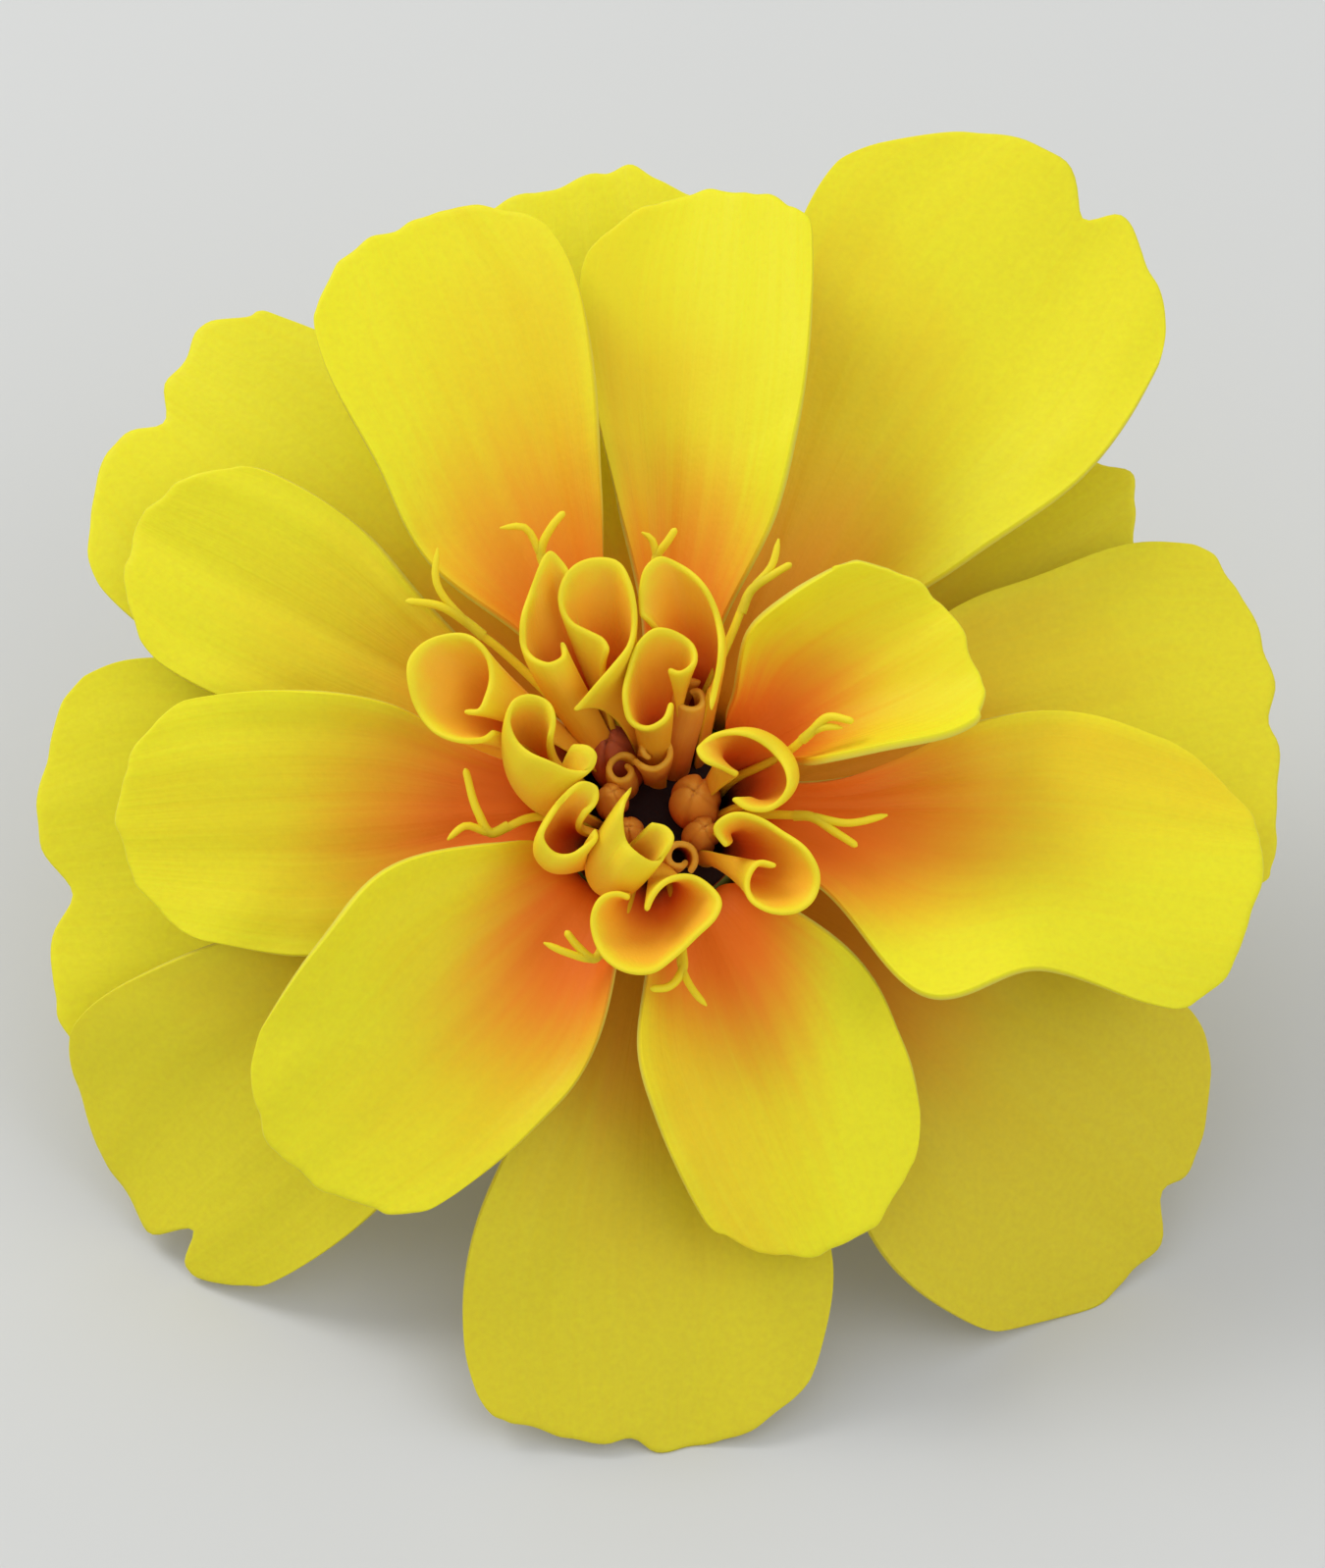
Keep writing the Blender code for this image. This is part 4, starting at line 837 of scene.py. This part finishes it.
def petal_effect(name):
    """Petal tissue: yellow with long veins, an orange patch that streaks out from the base, and
    painted shade: gold leant to a petal's darker side, and mustard, partly for age, over petals
    that lie in shadow.
    """
    effect = Effect(name, {
        "Yellow": (0.8, 0.7, 0.02, 1), "Gold": (0.8, 0.6, 0.02, 1), "Mustard": (0.6, 0.4, 0.02, 1),
        "Orange": (0.8, 0.2, 0.01, 1), "Patch Length": 12.0, "Patch Strength": 1.0,
        "Patch Side": 0.0, "Fresh And Lit": 0.8, "Shaded Side": 0.0, "Seed": 0.0,
    }, ("Color", "Roughness", "Height"))
    offset, along, across = effect.place()
    cloud, grain = effect.skin(Seed=effect["Seed"])

    # Veins run along lines of equal share of the width.
    seed = effect["Seed"] * 7.3
    broad_veins = noise(vector(across * 9.0, along * 0.05, seed), 1.0, 2.0)
    fine_veins = noise(vector(across * 26.0, along * 0.12, seed), 1.0, 1.0)

    # The patch is long and round, and reaches a little further along some veins.
    streak = (broad_veins - 0.5) * 2.4
    aside = (offset - effect["Patch Side"]) * 1.9
    out = calc("MAXIMUM", along, 0.0)
    reach = calc("SQRT", aside * aside + out * out)
    share = (reach - streak) / effect["Patch Length"]
    patch = limited(ease(share, 0.42, 1.15, 1.0, 0.0) * effect["Patch Strength"])

    # Gold reaches about twice as far, then lemon yellow takes over. Where it leans to one side,
    # the gold is painted shade on the petal's darker half.
    shade_leant = share - across * effect["Shaded Side"]
    gold_and_shade = ease(shade_leant + (cloud - 0.5) * 0.8, 0.6, 1.8, 1.0, 0.0)
    gold_and_shade = gold_and_shade * ease(calc("ABSOLUTE", across), 0.8, 1.0, 1.0, 0.45)
    base = blend(limited(gold_and_shade - (fine_veins - 0.5) * 0.35), effect["Yellow"], effect["Gold"])
    # Less freshness dulls the yellow to mustard: partly for age, partly as painted shade on petals
    # that lie in shadow.
    fresh = limited(effect["Fresh And Lit"] + (grain - 0.5) * 0.35)
    base = blend(fresh, effect["Mustard"], base)

    upper = blend(patch, base, effect["Orange"])
    under = blend(0.25, blend(0.6, base, effect["Mustard"]), UNDERSIDE)
    under = blend(ease(fine_veins, 0.45, 0.75, 0.0, 0.4), under, UNDER_VEIN)
    effect["Color"] = blend(effect.face(), under, upper)
    effect["Roughness"] = ease(fine_veins, 0.2, 0.8, 0.62, 0.5)
    effect["Height"] = fine_veins * 0.6 + grain * 0.4
    return effect.tree


def floret_effect(name):
    """Floret tissue: a bright lip, a honey outside, and an inside that deepens to ember, then to
    painted shade low down.
    """
    effect = Effect(name, {
        "Rim": (0.8, 0.7, 0.02, 1), "Outside": (0.7, 0.5, 0.02, 1), "Inside": (0.8, 0.2, 0.01, 1),
        "Ember": (0.5, 0.07, 0.01, 1), "Well": (0.05, 0.01, 0.01, 1), "Depth": 0.6, "Seed": 0.0,
    }, ("Color", "Roughness", "Height"))
    way, high, _ = effect.place()
    cloud, grain = effect.skin(Cloud_Size=1.6, Grain_Size=0.16, Seed=effect["Seed"])
    veins = noise(vector(way * 34.0, high * 1.5, effect["Seed"]), 1.0, 1.0)
    level = high + (cloud - 0.5) * 0.16

    inside = blend(ease(level, 0.88, 1.02), effect["Inside"], effect["Rim"])
    inside = blend(ease(level, effect["Depth"], 0.92, 1.0, 0.0), inside, effect["Ember"])
    # Painted shade: low inside a floret, and low on a bud, the colour darkens to near black.
    inside = blend(ease(level, 0.12, 0.55, 1.0, 0.0), inside, effect["Well"])
    outside = blend(ease(level, 0.75, 1.0), effect["Outside"], effect["Rim"])
    outside = blend(ease(level, 0.25, 0.65, 0.5, 0.0), outside, effect["Ember"])
    outside = blend(ease(veins, 0.3, 0.8, 0.0, 0.22), outside, effect["Inside"])
    margins = ease(calc("ABSOLUTE", way - 0.5), 0.475, 0.5, 0.0, 0.6)
    rim = calc("MAXIMUM", ease(high, 0.955, 0.99), margins)
    effect["Color"] = blend(rim, blend(effect.face(), inside, outside), effect["Rim"])
    effect["Roughness"] = ease(grain, 0.2, 0.8, 0.62, 0.48)
    effect["Height"] = veins * 0.5 + grain * 0.5
    return effect.tree


def green_effect(name):
    """Green tissue of the cup and stem: fine lengthwise ribs, paler crests, darker glands."""
    effect = Effect(name, {
        "Green": (0.1, 0.2, 0.04, 1), "Pale": (0.3, 0.4, 0.1, 1), "Gland": GLAND, "Crests": 1.0,
    }, ("Color", "Roughness", "Height"))
    crest, gland, tip = effect.place()
    cloud, grain = effect.skin(Cloud_Size=2.2, Grain_Size=0.14)
    pale = crest * effect["Crests"] * ease(cloud, 0.25, 0.75, 0.35, 1.0)
    body = blend(tip * 0.5, blend(pale, effect["Green"], effect["Pale"]), DRY_TIP)
    effect["Color"] = blend(gland, body, effect["Gland"])
    effect["Roughness"] = ease(grain, 0.2, 0.8, 0.58, 0.42)
    effect["Height"] = grain
    return effect.tree


def tissue(name, group, inputs, bump, subsurface, sheen=0.0):
    """A material whose colour, roughness and bump come from a tissue group."""
    surface = bpy.data.materials.new(name)
    surface.use_nodes = True
    tree = surface.node_tree
    shader = tree.nodes["Principled BSDF"]
    source = put(tree, "ShaderNodeGroup", inputs, node_tree=group)
    relief = put(tree, "ShaderNodeBump", {"Strength": 0.6, "Distance": bump * MM,
                                          "Height": Field(tree, source.outputs["Height"])})
    tree.links.new(source.outputs["Color"], shader.inputs["Base Color"])
    tree.links.new(source.outputs["Roughness"], shader.inputs["Roughness"])
    tree.links.new(relief.outputs["Normal"], shader.inputs["Normal"])
    plain = {"Specular IOR Level": 0.18, "Subsurface Weight": subsurface,
             "Subsurface Radius": (1.0, 0.6, 0.1), "Subsurface Scale": 0.0012,
             "Sheen Weight": sheen, "Sheen Roughness": 0.5}
    for label, value in plain.items():
        shader.inputs[label].default_value = value
    return surface


def tones(**labels):
    """Inputs of a tissue: each label with the user's colour of that name."""
    colours = bpy.context.scene.marigold_colours
    return {label: (*getattr(colours, name), 1.0) for label, name in labels.items()}


def petal_surface(number, petal):
    """The material of one petal, with its own patch and tone; the tone is partly age and partly
    painted shade.
    """
    patch_length, strength, side = petal["patch"]
    inputs = tones(Yellow="yellow", Gold="gold_and_shade", Mustard="mustard_and_shade", Orange="orange")
    inputs |= {"Patch Length": patch_length, "Patch Strength": strength, "Patch Side": side,
               "Fresh And Lit": petal["fresh"], "Shaded Side": petal.get("shaded_side", 0.0),
               "Seed": float(number)}
    group = once("petal tissue", petal_effect)
    return tissue(f"petal_{number:02d}_tissue", group, inputs, 0.06, 0.15)


def floret_surface(name, seed, rim, outside, inside, depth):
    """The material of the florets that share a colouring."""
    inputs = tones(Rim=rim, Outside=outside, Inside=inside, Ember="ember", Well="painted_shade")
    inputs |= {"Depth": depth, "Seed": seed}
    return tissue(name, once("floret tissue", floret_effect), inputs, 0.05, 0.2)


def green_surface(name, crests):
    """The material of the cup or the stem."""
    inputs = tones(Green="green", Pale="pale_green") | {"Crests": crests}
    return tissue(name, once("green tissue", green_effect), inputs, 0.05, 0.05, 0.1)


def build_petals(petals, ring, first):
    """Build one ring of petals."""
    sizes = bpy.context.scene.marigold_sizes
    for number, petal in enumerate(petals, first):
        points, place = petal_grid(petal, ring, number, sizes)
        piece = sheet(f"petal_{number:02d}", points, place, sizes.petal_thickness,
                      petal_surface(number, petal))
        hand_over(piece, f"ray_petal_{number:02d}")


class MARIGOLD_OT_outer_petals(bpy.types.Operator):
    """Build the nine broad petals of the outer ring"""
    bl_idname = "marigold.outer_petals"
    bl_label = "Outer Petals"

    def execute(self, context):
        build_petals(OUTER_PETALS, OUTER_RING, 1)
        return {"FINISHED"}


class MARIGOLD_OT_inner_petals(bpy.types.Operator):
    """Build the eight petals of the inner ring"""
    bl_idname = "marigold.inner_petals"
    bl_label = "Inner Petals"

    def execute(self, context):
        build_petals(INNER_PETALS, INNER_RING, len(OUTER_PETALS) + 1)
        return {"FINISHED"}


def roll_floret(name, floret, columns, rows, surface):
    """Build a rolled floret, with face 1 on its outside."""
    points, place, first_looks_out = floret_grid(floret, columns, rows)
    thickness = bpy.context.scene.marigold_sizes.floret_thickness
    piece = sheet(name, points, place, thickness, surface)
    if first_looks_out:
        face = piece.data.attributes["face"].data
        values = np.zeros(len(face), np.float32)
        face.foreach_get("value", values)
        face.foreach_set("value", 1.0 - values)
    hand_over(piece, "disc_florets")


class MARIGOLD_OT_rolled_florets(bpy.types.Operator):
    """Build the rolled florets with their open mouths"""
    bl_idname = "marigold.rolled_florets"
    bl_label = "Rolled Florets"

    def execute(self, context):
        surface = floret_surface("floret_tissue", 1.0, "lip", "honey", "apricot", 0.4)
        for number, floret in enumerate(ROLLED_FLORETS, 1):
            name = f"rolled_floret_{number:02d}"
            roll_floret(name, floret, FLORET_COLUMNS, FLORET_ROWS, surface)
        return {"FINISHED"}


def young_floret(x, y, top, radius, compass):
    """A small floret that has begun to unroll: its mouth is a spiral that starts at a compass."""
    mouth = []
    for step in range(YOUNG_STEPS + 1):
        share = step / YOUNG_STEPS
        angle = math.radians(compass + YOUNG_SWEEP * share)
        out = radius * (1.0 - YOUNG_CLOSE * share)
        mouth.append((x + out * math.cos(angle), y + out * math.sin(angle)))
    foot = min(1.0, BUD_FOOT / math.hypot(x, y))
    return dict(foot=(x * foot, y * foot), belly=(x, y, 0.8 * top), radius=0.9 * radius,
                height=top, slope=(-0.05 * x, -0.05 * y), neck=0.5 * top, mouth=mouth,
                wave=YOUNG_WAVE)


def bud_mesh(x, y, top, radius, seed):
    """A closed bud that leans out from its foot, ridged, its folded lobes meeting at the tip."""
    phase = np.random.default_rng(seed).uniform(0, 2 * math.pi)
    foot = min(1.0, BUD_FOOT / math.hypot(x, y))
    tall = (top + BUD_SINK) / 2
    bm = bmesh.new()
    bmesh.ops.create_icosphere(bm, subdivisions=BUD_DETAIL, radius=1.0)
    kept = bm.verts.layers.float_vector.new("place")
    for vertex in bm.verts:
        c = vertex.co
        around = math.atan2(c.y, c.x)
        crown = float(smooth((c.z - 0.2) / 0.8))
        turn = BUD_RIDGES * around + phase + BUD_TWIST * c.z
        fold = math.exp(-((1 - math.cos(turn)) / FOLD_WIDTH))
        fold *= 1 - 0.5 * math.cos(around + phase)
        swell = 1 - FOLD_DEPTH * fold * (1 - c.z ** 4)
        centre = math.exp(-((c.x ** 2 + c.y ** 2) / 0.03)) * crown
        reach = foot + (1 - foot) * float(smooth((c.z + 1) / 2))
        dip = radius * (CROWN_DIP * centre + FOLD_DIP * fold * crown)
        vertex[kept] = (0.5 + around / (2 * math.pi), (c.z + 1) / 2, centre)
        vertex.co = (x * reach + radius * swell * c.x, y * reach + radius * swell * c.y,
                     top - tall + tall * c.z - dip)
    return bm


class MARIGOLD_OT_buds(bpy.types.Operator):
    """Build the closed and the just unrolling florets in the hollow of the disc, with painted
    shade low on each and over the whole deepest bud
    """
    bl_idname = "marigold.buds"
    bl_label = "Closed Florets"

    def execute(self, context):
        young = floret_surface("young_tissue", 7.0, "young", "bud", "apricot", 0.5)
        plain = floret_surface("bud_tissue", 5.0, "bud", "bud", "bud", 0.3)
        # A darker copy of the bud tissue: painted shade for the deepest bud.
        deep = floret_surface("shaded_bud_tissue", 6.0, "shaded_bud", "shaded_bud", "shaded_bud", 0.3)
        for number, (x, y, top, radius) in enumerate(BUDS, 1):
            if number in YOUNG_FLORETS:
                floret = young_floret(x, y, top, radius, YOUNG_FLORETS[number])
                roll_floret(f"young_floret_{number:02d}", floret, YOUNG_COLUMNS, YOUNG_ROWS, young)
                continue
            bm = bud_mesh(x, y, top, radius, BUD_SEED + number)
            surface = deep if number in SHADED_BUDS else plain
            piece = turned_piece(f"closed_floret_{number:02d}", bm, surface)
            hand_over(piece, "disc_florets")
        return {"FINISHED"}


def style_path(stalk):
    """A style's whole stalk: up from the disc and out over the petals."""
    x, y, _ = stalk[0]
    reach = math.hypot(x, y)
    out, up = STYLE_NECK
    foot = (x / reach * STYLE_FOOT, y / reach * STYLE_FOOT, 0.0)
    neck = (x / reach * out, y / reach * out, up)
    return (foot, neck) + stalk


def style_mesh(stalk, branch, radius):
    """A forked style: two round threads that thin towards their tips and end round."""
    curve = bpy.data.curves.new("style", "CURVE")
    curve.dimensions = "3D"
    curve.bevel_depth = radius
    curve.bevel_resolution = 3
    curve.use_fill_caps = True
    lead = tuple((np.asarray(stalk[0]) + np.asarray(stalk[1])) / 2)
    for path in (style_path(stalk), (lead, stalk[1]) + branch):
        spline = curve.splines.new("POLY")
        spline.points.add(STYLE_STEPS)
        placed = on_table(resample(path, STYLE_STEPS + 1))
        for step, (point, spot) in enumerate(zip(spline.points, placed)):
            share = step / STYLE_STEPS
            end = max(0.0, (share - STYLE_TIP) / (1 - STYLE_TIP))
            point.co = (*spot, 1.0)
            point.radius = (1.15 - 0.35 * share) * math.sqrt(1 - 0.93 * end ** 2)
    swept = bpy.data.objects.new("style", curve)
    mesh = bpy.data.meshes.new_from_object(swept)
    bpy.data.objects.remove(swept, do_unlink=True)
    bpy.data.curves.remove(curve)
    place = mesh.attributes.new("place", "FLOAT_VECTOR", "POINT")
    place.data.foreach_set("vector", np.tile((0.5, 0.97, 0.0), len(mesh.vertices)))
    return mesh


class MARIGOLD_OT_styles(bpy.types.Operator):
    """Build the forked styles that reach out from the rolled florets"""
    bl_idname = "marigold.styles"
    bl_label = "Forked Styles"

    def execute(self, context):
        radius = context.scene.marigold_sizes.style_radius
        surface = floret_surface("style_tissue", 9.0, "lip", "lip", "lip", 0.1)
        for number, (stalk, branch) in enumerate(STYLES, 1):
            mesh = style_mesh(stalk, branch, radius)
            piece = new_piece(f"forked_style_{number:02d}", mesh, surface)
            hand_over(piece, "disc_florets")
        return {"FINISHED"}


class MARIGOLD_OT_disc_dome(bpy.types.Operator):
    """Build the low dome that the florets stand on, painted shade on top and green round its side
    """
    bl_idname = "marigold.disc_dome"
    bl_label = "Disc Dome"

    def execute(self, context):
        profile = [(0.0, DISC_FOOT), (DISC_RADIUS, DISC_FOOT)]
        for step in range(DOME_STEPS):
            angle = math.radians(90.0 * step / DOME_STEPS)
            profile.append((DISC_RADIUS * math.cos(angle), DISC_TOP * math.sin(angle)))
        profile.append((0.0, DISC_TOP))
        bm = turned(profile, DISC_SEGMENTS)
        kept = bm.verts.layers.float_vector.new("place")
        for vertex in bm.verts:
            side = math.hypot(vertex.co.x, vertex.co.y) > 0.99 * DISC_RADIUS
            vertex[kept] = (0.5, float(side), 0.0)
        # Painted shade covers the dome's top; its side is pale green.
        surface = floret_surface("dome_tissue", 3.0, "pale_green", "painted_shade", "painted_shade", 0.3)
        hand_over(turned_piece("disc_dome", bm, surface), "disc_florets")
        return {"FINISHED"}


def cup_radius(height):
    """Outer radius of the green cup at a height below the petals."""
    stations = (CUP_BOTTOM, CUP_BOTTOM + 1.5, CUP_BOTTOM + 4.0, CUP_BOTTOM + 7.5, CUP_RIM + 2.0)
    radii = (STEM_NECK + 0.9, 4.6, 6.6, CUP_INNER + CUP_WALL, CUP_INNER + CUP_WALL)
    return float(through(height, stations, radii))


def cup_profile():
    """The cup's outline from the roof of the stem's seat, round the heel and up the outside, and
    down the inside to the floor."""
    seat = STEM_NECK + SEAT_GAP
    outside = [(cup_radius(z), z) for z in np.linspace(CUP_BOTTOM + HEEL, CUP_RIM, CUP_ROWS)]
    inside = [(CUP_INNER, z) for z in np.linspace(CUP_RIM, CUP_FLOOR, 8)]
    spread = outside[0][0] - seat - HEEL
    heel = [(seat + HEEL * (1 - math.cos(angle)), CUP_BOTTOM + HEEL * (1 - math.sin(angle)))
            for angle in np.radians((0, 22, 45, 67, 90))]
    heel += [(seat + HEEL + spread * math.sin(angle), CUP_BOTTOM + HEEL * (1 - math.cos(angle)))
             for angle in np.radians((22, 45, 67))]
    roof = CUP_BOTTOM + SEAT_DEPTH
    return [(0.0, roof), (seat, roof)] + heel + outside + inside + [(0.0, CUP_FLOOR)]


def gland_mask(around, height):
    """How much of an oil gland lies at a place on the cup: two rows of them down each bract."""
    bract = 2 * math.pi / BRACTS
    in_bract = (around / bract + 0.5) % 1.0 - 0.5
    best = 0.0
    for side in (-1, 1):
        for row in range(GLAND_ROWS):
            uneven = math.sin(5.0 * row + 2.0 * side + 2.4 * round(around / bract))
            centre = CUP_RIM - 1.6 - GLAND_STEP * row - 0.5 * (side > 0) + 0.3 * uneven
            spot = side * (0.17 + 0.012 * row)
            du = (in_bract - spot) * bract * cup_radius(centre) / GLAND_WIDTH
            dv = (height - centre) / (GLAND_LENGTH * (1 - 0.3 * uneven))
            best = max(best, math.exp(-(du * du + dv * dv) * 1.8))
    return best


class MARIGOLD_OT_cup(bpy.types.Operator):
    """Build the green toothed cup of joined bracts"""
    bl_idname = "marigold.cup"
    bl_label = "Green Cup"

    def execute(self, context):
        gland_height = context.scene.marigold_sizes.gland_height / MM
        bm = turned(cup_profile(), CUP_SEGMENTS)
        kept = bm.verts.layers.float_vector.new("place")
        for vertex in bm.verts:
            x, y, z = vertex.co
            radius = math.hypot(x, y)
            if radius < STEM_NECK + SEAT_GAP + 0.01:
                continue
            around = math.atan2(y, x)
            turn = BRACTS * around
            crest = 0.5 + 0.5 * math.cos(turn)
            groove = math.exp(-((1 - math.cos(turn + math.pi)) / GROOVE_WIDTH))
            rim = float(smooth((z - CUP_RIM + 1.6) / 1.6))
            on_outside = radius > cup_radius(z) - 0.1
            gland = gland_mask(around, z) if on_outside and z < CUP_RIM - 0.3 else 0.0
            z += rim * (TOOTH * crest - TOOTH / 2)
            if on_outside:
                swell = float(smooth((z - CUP_BOTTOM) / 4.0))
                grown = radius + (RIB * math.cos(turn) - GROOVE_DEPTH * groove) * swell
                grown += gland_height * gland
                grown -= TOOTH_LEAN * rim * float(smooth((z - CUP_RIM + 0.3) / 0.9))
                x, y = x * grown / radius, y * grown / radius
            fine = 0.5 + 0.5 * math.cos(FINE_RIBS * turn)
            vertex[kept] = ((0.35 * crest + 0.3 * fine) * (1 - groove), gland, rim * crest)
            vertex.co = (x, y, z)
        piece = turned_piece("green_cup", bm, green_surface("cup_tissue", 1.0))
        hand_over(piece, "involucre")
        return {"FINISHED"}


class MARIGOLD_OT_stem(bpy.types.Operator):
    """Build the short cut stem, furrowed, with its pale pith"""
    bl_idname = "marigold.stem"
    bl_label = "Cut Stem"

    def execute(self, context):
        profile = [(STEM_RADIUS * share, STEM_END)
                   for share in (0.0, 0.2, 0.4, 0.55, 0.7, 0.82, 0.92)]
        for z in np.linspace(STEM_END, STEM_TOP, STEM_ROWS):
            swell = float(smooth((z - STEM_END) / (STEM_TOP - STEM_END)))
            flare = STEM_FLARE * float(smooth((z - CUP_BOTTOM + 1.2) / 1.2))
            profile.append((STEM_RADIUS + (STEM_NECK - STEM_RADIUS) * swell + flare, z))
        profile.append((0.0, STEM_TOP))
        bm = turned(profile, STEM_SEGMENTS)
        kept = bm.verts.layers.float_vector.new("place")
        for vertex in bm.verts:
            x, y, z = vertex.co
            radius = math.hypot(x, y)
            around = math.atan2(y, x)
            furrow = 0.5 + 0.5 * math.cos(STEM_FURROWS * around)
            cut = float(z < STEM_END + 0.01)
            side = float(smooth((radius - 0.9 * STEM_RADIUS) / (0.1 * STEM_RADIUS)))
            pith = cut * (1 - float(smooth((radius / STEM_RADIUS - 0.55) / 0.3)))
            if radius > 0.01:
                below_cup = 1 - float(smooth((z - STEM_TOP + 1.5) / 1.0))
                grown = radius - FURROW_DEPTH * (1 - furrow) * side * below_cup
                x, y = x * grown / radius, y * grown / radius
            z += 0.12 * pith + 0.05 * cut * math.cos(9 * around) * (1 - side)
            vertex[kept] = (0.6 * furrow * (1 - cut) + pith + 0.45 * cut, 0.0, 0.0)
            vertex.co = (x, y, z)
        piece = turned_piece("cut_stem", bm, green_surface("stem_tissue", 0.9))
        hand_over(piece, "stem")
        return {"FINISHED"}


def lay_floor(tone):
    """Lay a plain floor of one tone."""
    bm = bmesh.new()
    bmesh.ops.create_grid(bm, x_segments=1, y_segments=1, size=FLOOR_HALF)
    surface = bpy.data.materials.new("floor_paint")
    surface.use_nodes = True
    shader = surface.node_tree.nodes["Principled BSDF"]
    shader.inputs["Base Color"].default_value = (*tone, 1.0)
    shader.inputs["Roughness"].default_value = 0.8
    new_piece("floor", mesh_of("floor", bm), surface)


def hang_lights(scene):
    """Hang the soft square lights, and light the room all round."""
    for name, (place, size, power) in LIGHTS.items():
        lamp = bpy.data.lights.new(name, "AREA")
        lamp.size = size
        lamp.energy = power
        light = bpy.data.objects.new(name, lamp)
        light.location = place
        aim = Vector(LIGHT_AIM) - Vector(place)
        light.rotation_euler = aim.to_track_quat("-Z", "Y").to_euler()
        scene.collection.objects.link(light)
    world = bpy.data.worlds.new("soft room")
    world.use_nodes = True
    sky = world.node_tree.nodes["Background"]
    sky.inputs["Color"].default_value = ROOM_TINT
    sky.inputs["Strength"].default_value = ROOM_STRENGTH
    scene.world = world


def set_camera(scene):
    """Set the camera at the photograph's angle to the head."""
    tilt = math.radians(CAMERA_TILT)
    turn = PLACE.to_3x3()
    back = turn @ Vector((0, -math.sin(tilt), math.cos(tilt)))
    up = turn @ Vector((0, math.cos(tilt), math.sin(tilt)))
    right = turn @ Vector((1, 0, 0))
    aim = PLACE.translation + (right * AIM_RIGHT + up * AIM_UP) * MM
    lens = bpy.data.cameras.new("camera")
    lens.sensor_fit = "VERTICAL"
    lens.sensor_height = SENSOR_HEIGHT
    lens.lens = SENSOR_HEIGHT * CAMERA_DISTANCE / VIEW_HEIGHT
    lens.clip_start = 0.01
    camera = bpy.data.objects.new("camera", lens)
    axes = Matrix((right, up, back)).transposed().to_4x4()
    camera.matrix_world = Matrix.Translation(aim + back * CAMERA_DISTANCE * MM) @ axes
    scene.collection.objects.link(camera)
    scene.camera = camera


class MARIGOLD_OT_stage(bpy.types.Operator):
    """Lay the pale floor, hang the soft lights and set the camera at the photograph's angle"""
    bl_idname = "marigold.stage"
    bl_label = "Stage"

    def execute(self, context):
        scene = context.scene
        lay_floor(scene.marigold_colours.floor)
        hang_lights(scene)
        set_camera(scene)
        scene.view_settings.view_transform = "Standard"
        return {"FINISHED"}


OPERATORS = (
    MARIGOLD_OT_outer_petals, MARIGOLD_OT_inner_petals, MARIGOLD_OT_rolled_florets,
    MARIGOLD_OT_buds, MARIGOLD_OT_styles, MARIGOLD_OT_disc_dome, MARIGOLD_OT_cup,
    MARIGOLD_OT_stem, MARIGOLD_OT_stage,
)


class MARIGOLD_PT_panel(bpy.types.Panel):
    """Sizes, colours and pieces of the marigold"""
    bl_idname = "MARIGOLD_PT_panel"
    bl_label = "Marigold"
    bl_space_type = "VIEW_3D"
    bl_region_type = "UI"
    bl_category = "Marigold"

    def draw(self, context):
        for group in (context.scene.marigold_sizes, context.scene.marigold_colours):
            box = self.layout.box()
            for name in group.__annotations__:
                box.prop(group, name)
        for operator in OPERATORS:
            self.layout.operator(operator.bl_idname)


CLASSES = (MarigoldSizes, MarigoldColours) + OPERATORS + (MARIGOLD_PT_panel,)


def register():
    for item in CLASSES:
        bpy.utils.register_class(item)
    bpy.types.Scene.marigold_sizes = PointerProperty(type=MarigoldSizes)
    bpy.types.Scene.marigold_colours = PointerProperty(type=MarigoldColours)


def unregister():
    del bpy.types.Scene.marigold_colours
    del bpy.types.Scene.marigold_sizes
    for item in reversed(CLASSES):
        bpy.utils.unregister_class(item)


def main():
    """Register the tools and build every piece."""
    register()
    for operator in OPERATORS:
        group, name = operator.bl_idname.split(".")
        getattr(getattr(bpy.ops, group), name)()


if __name__ == "__main__":
    main()
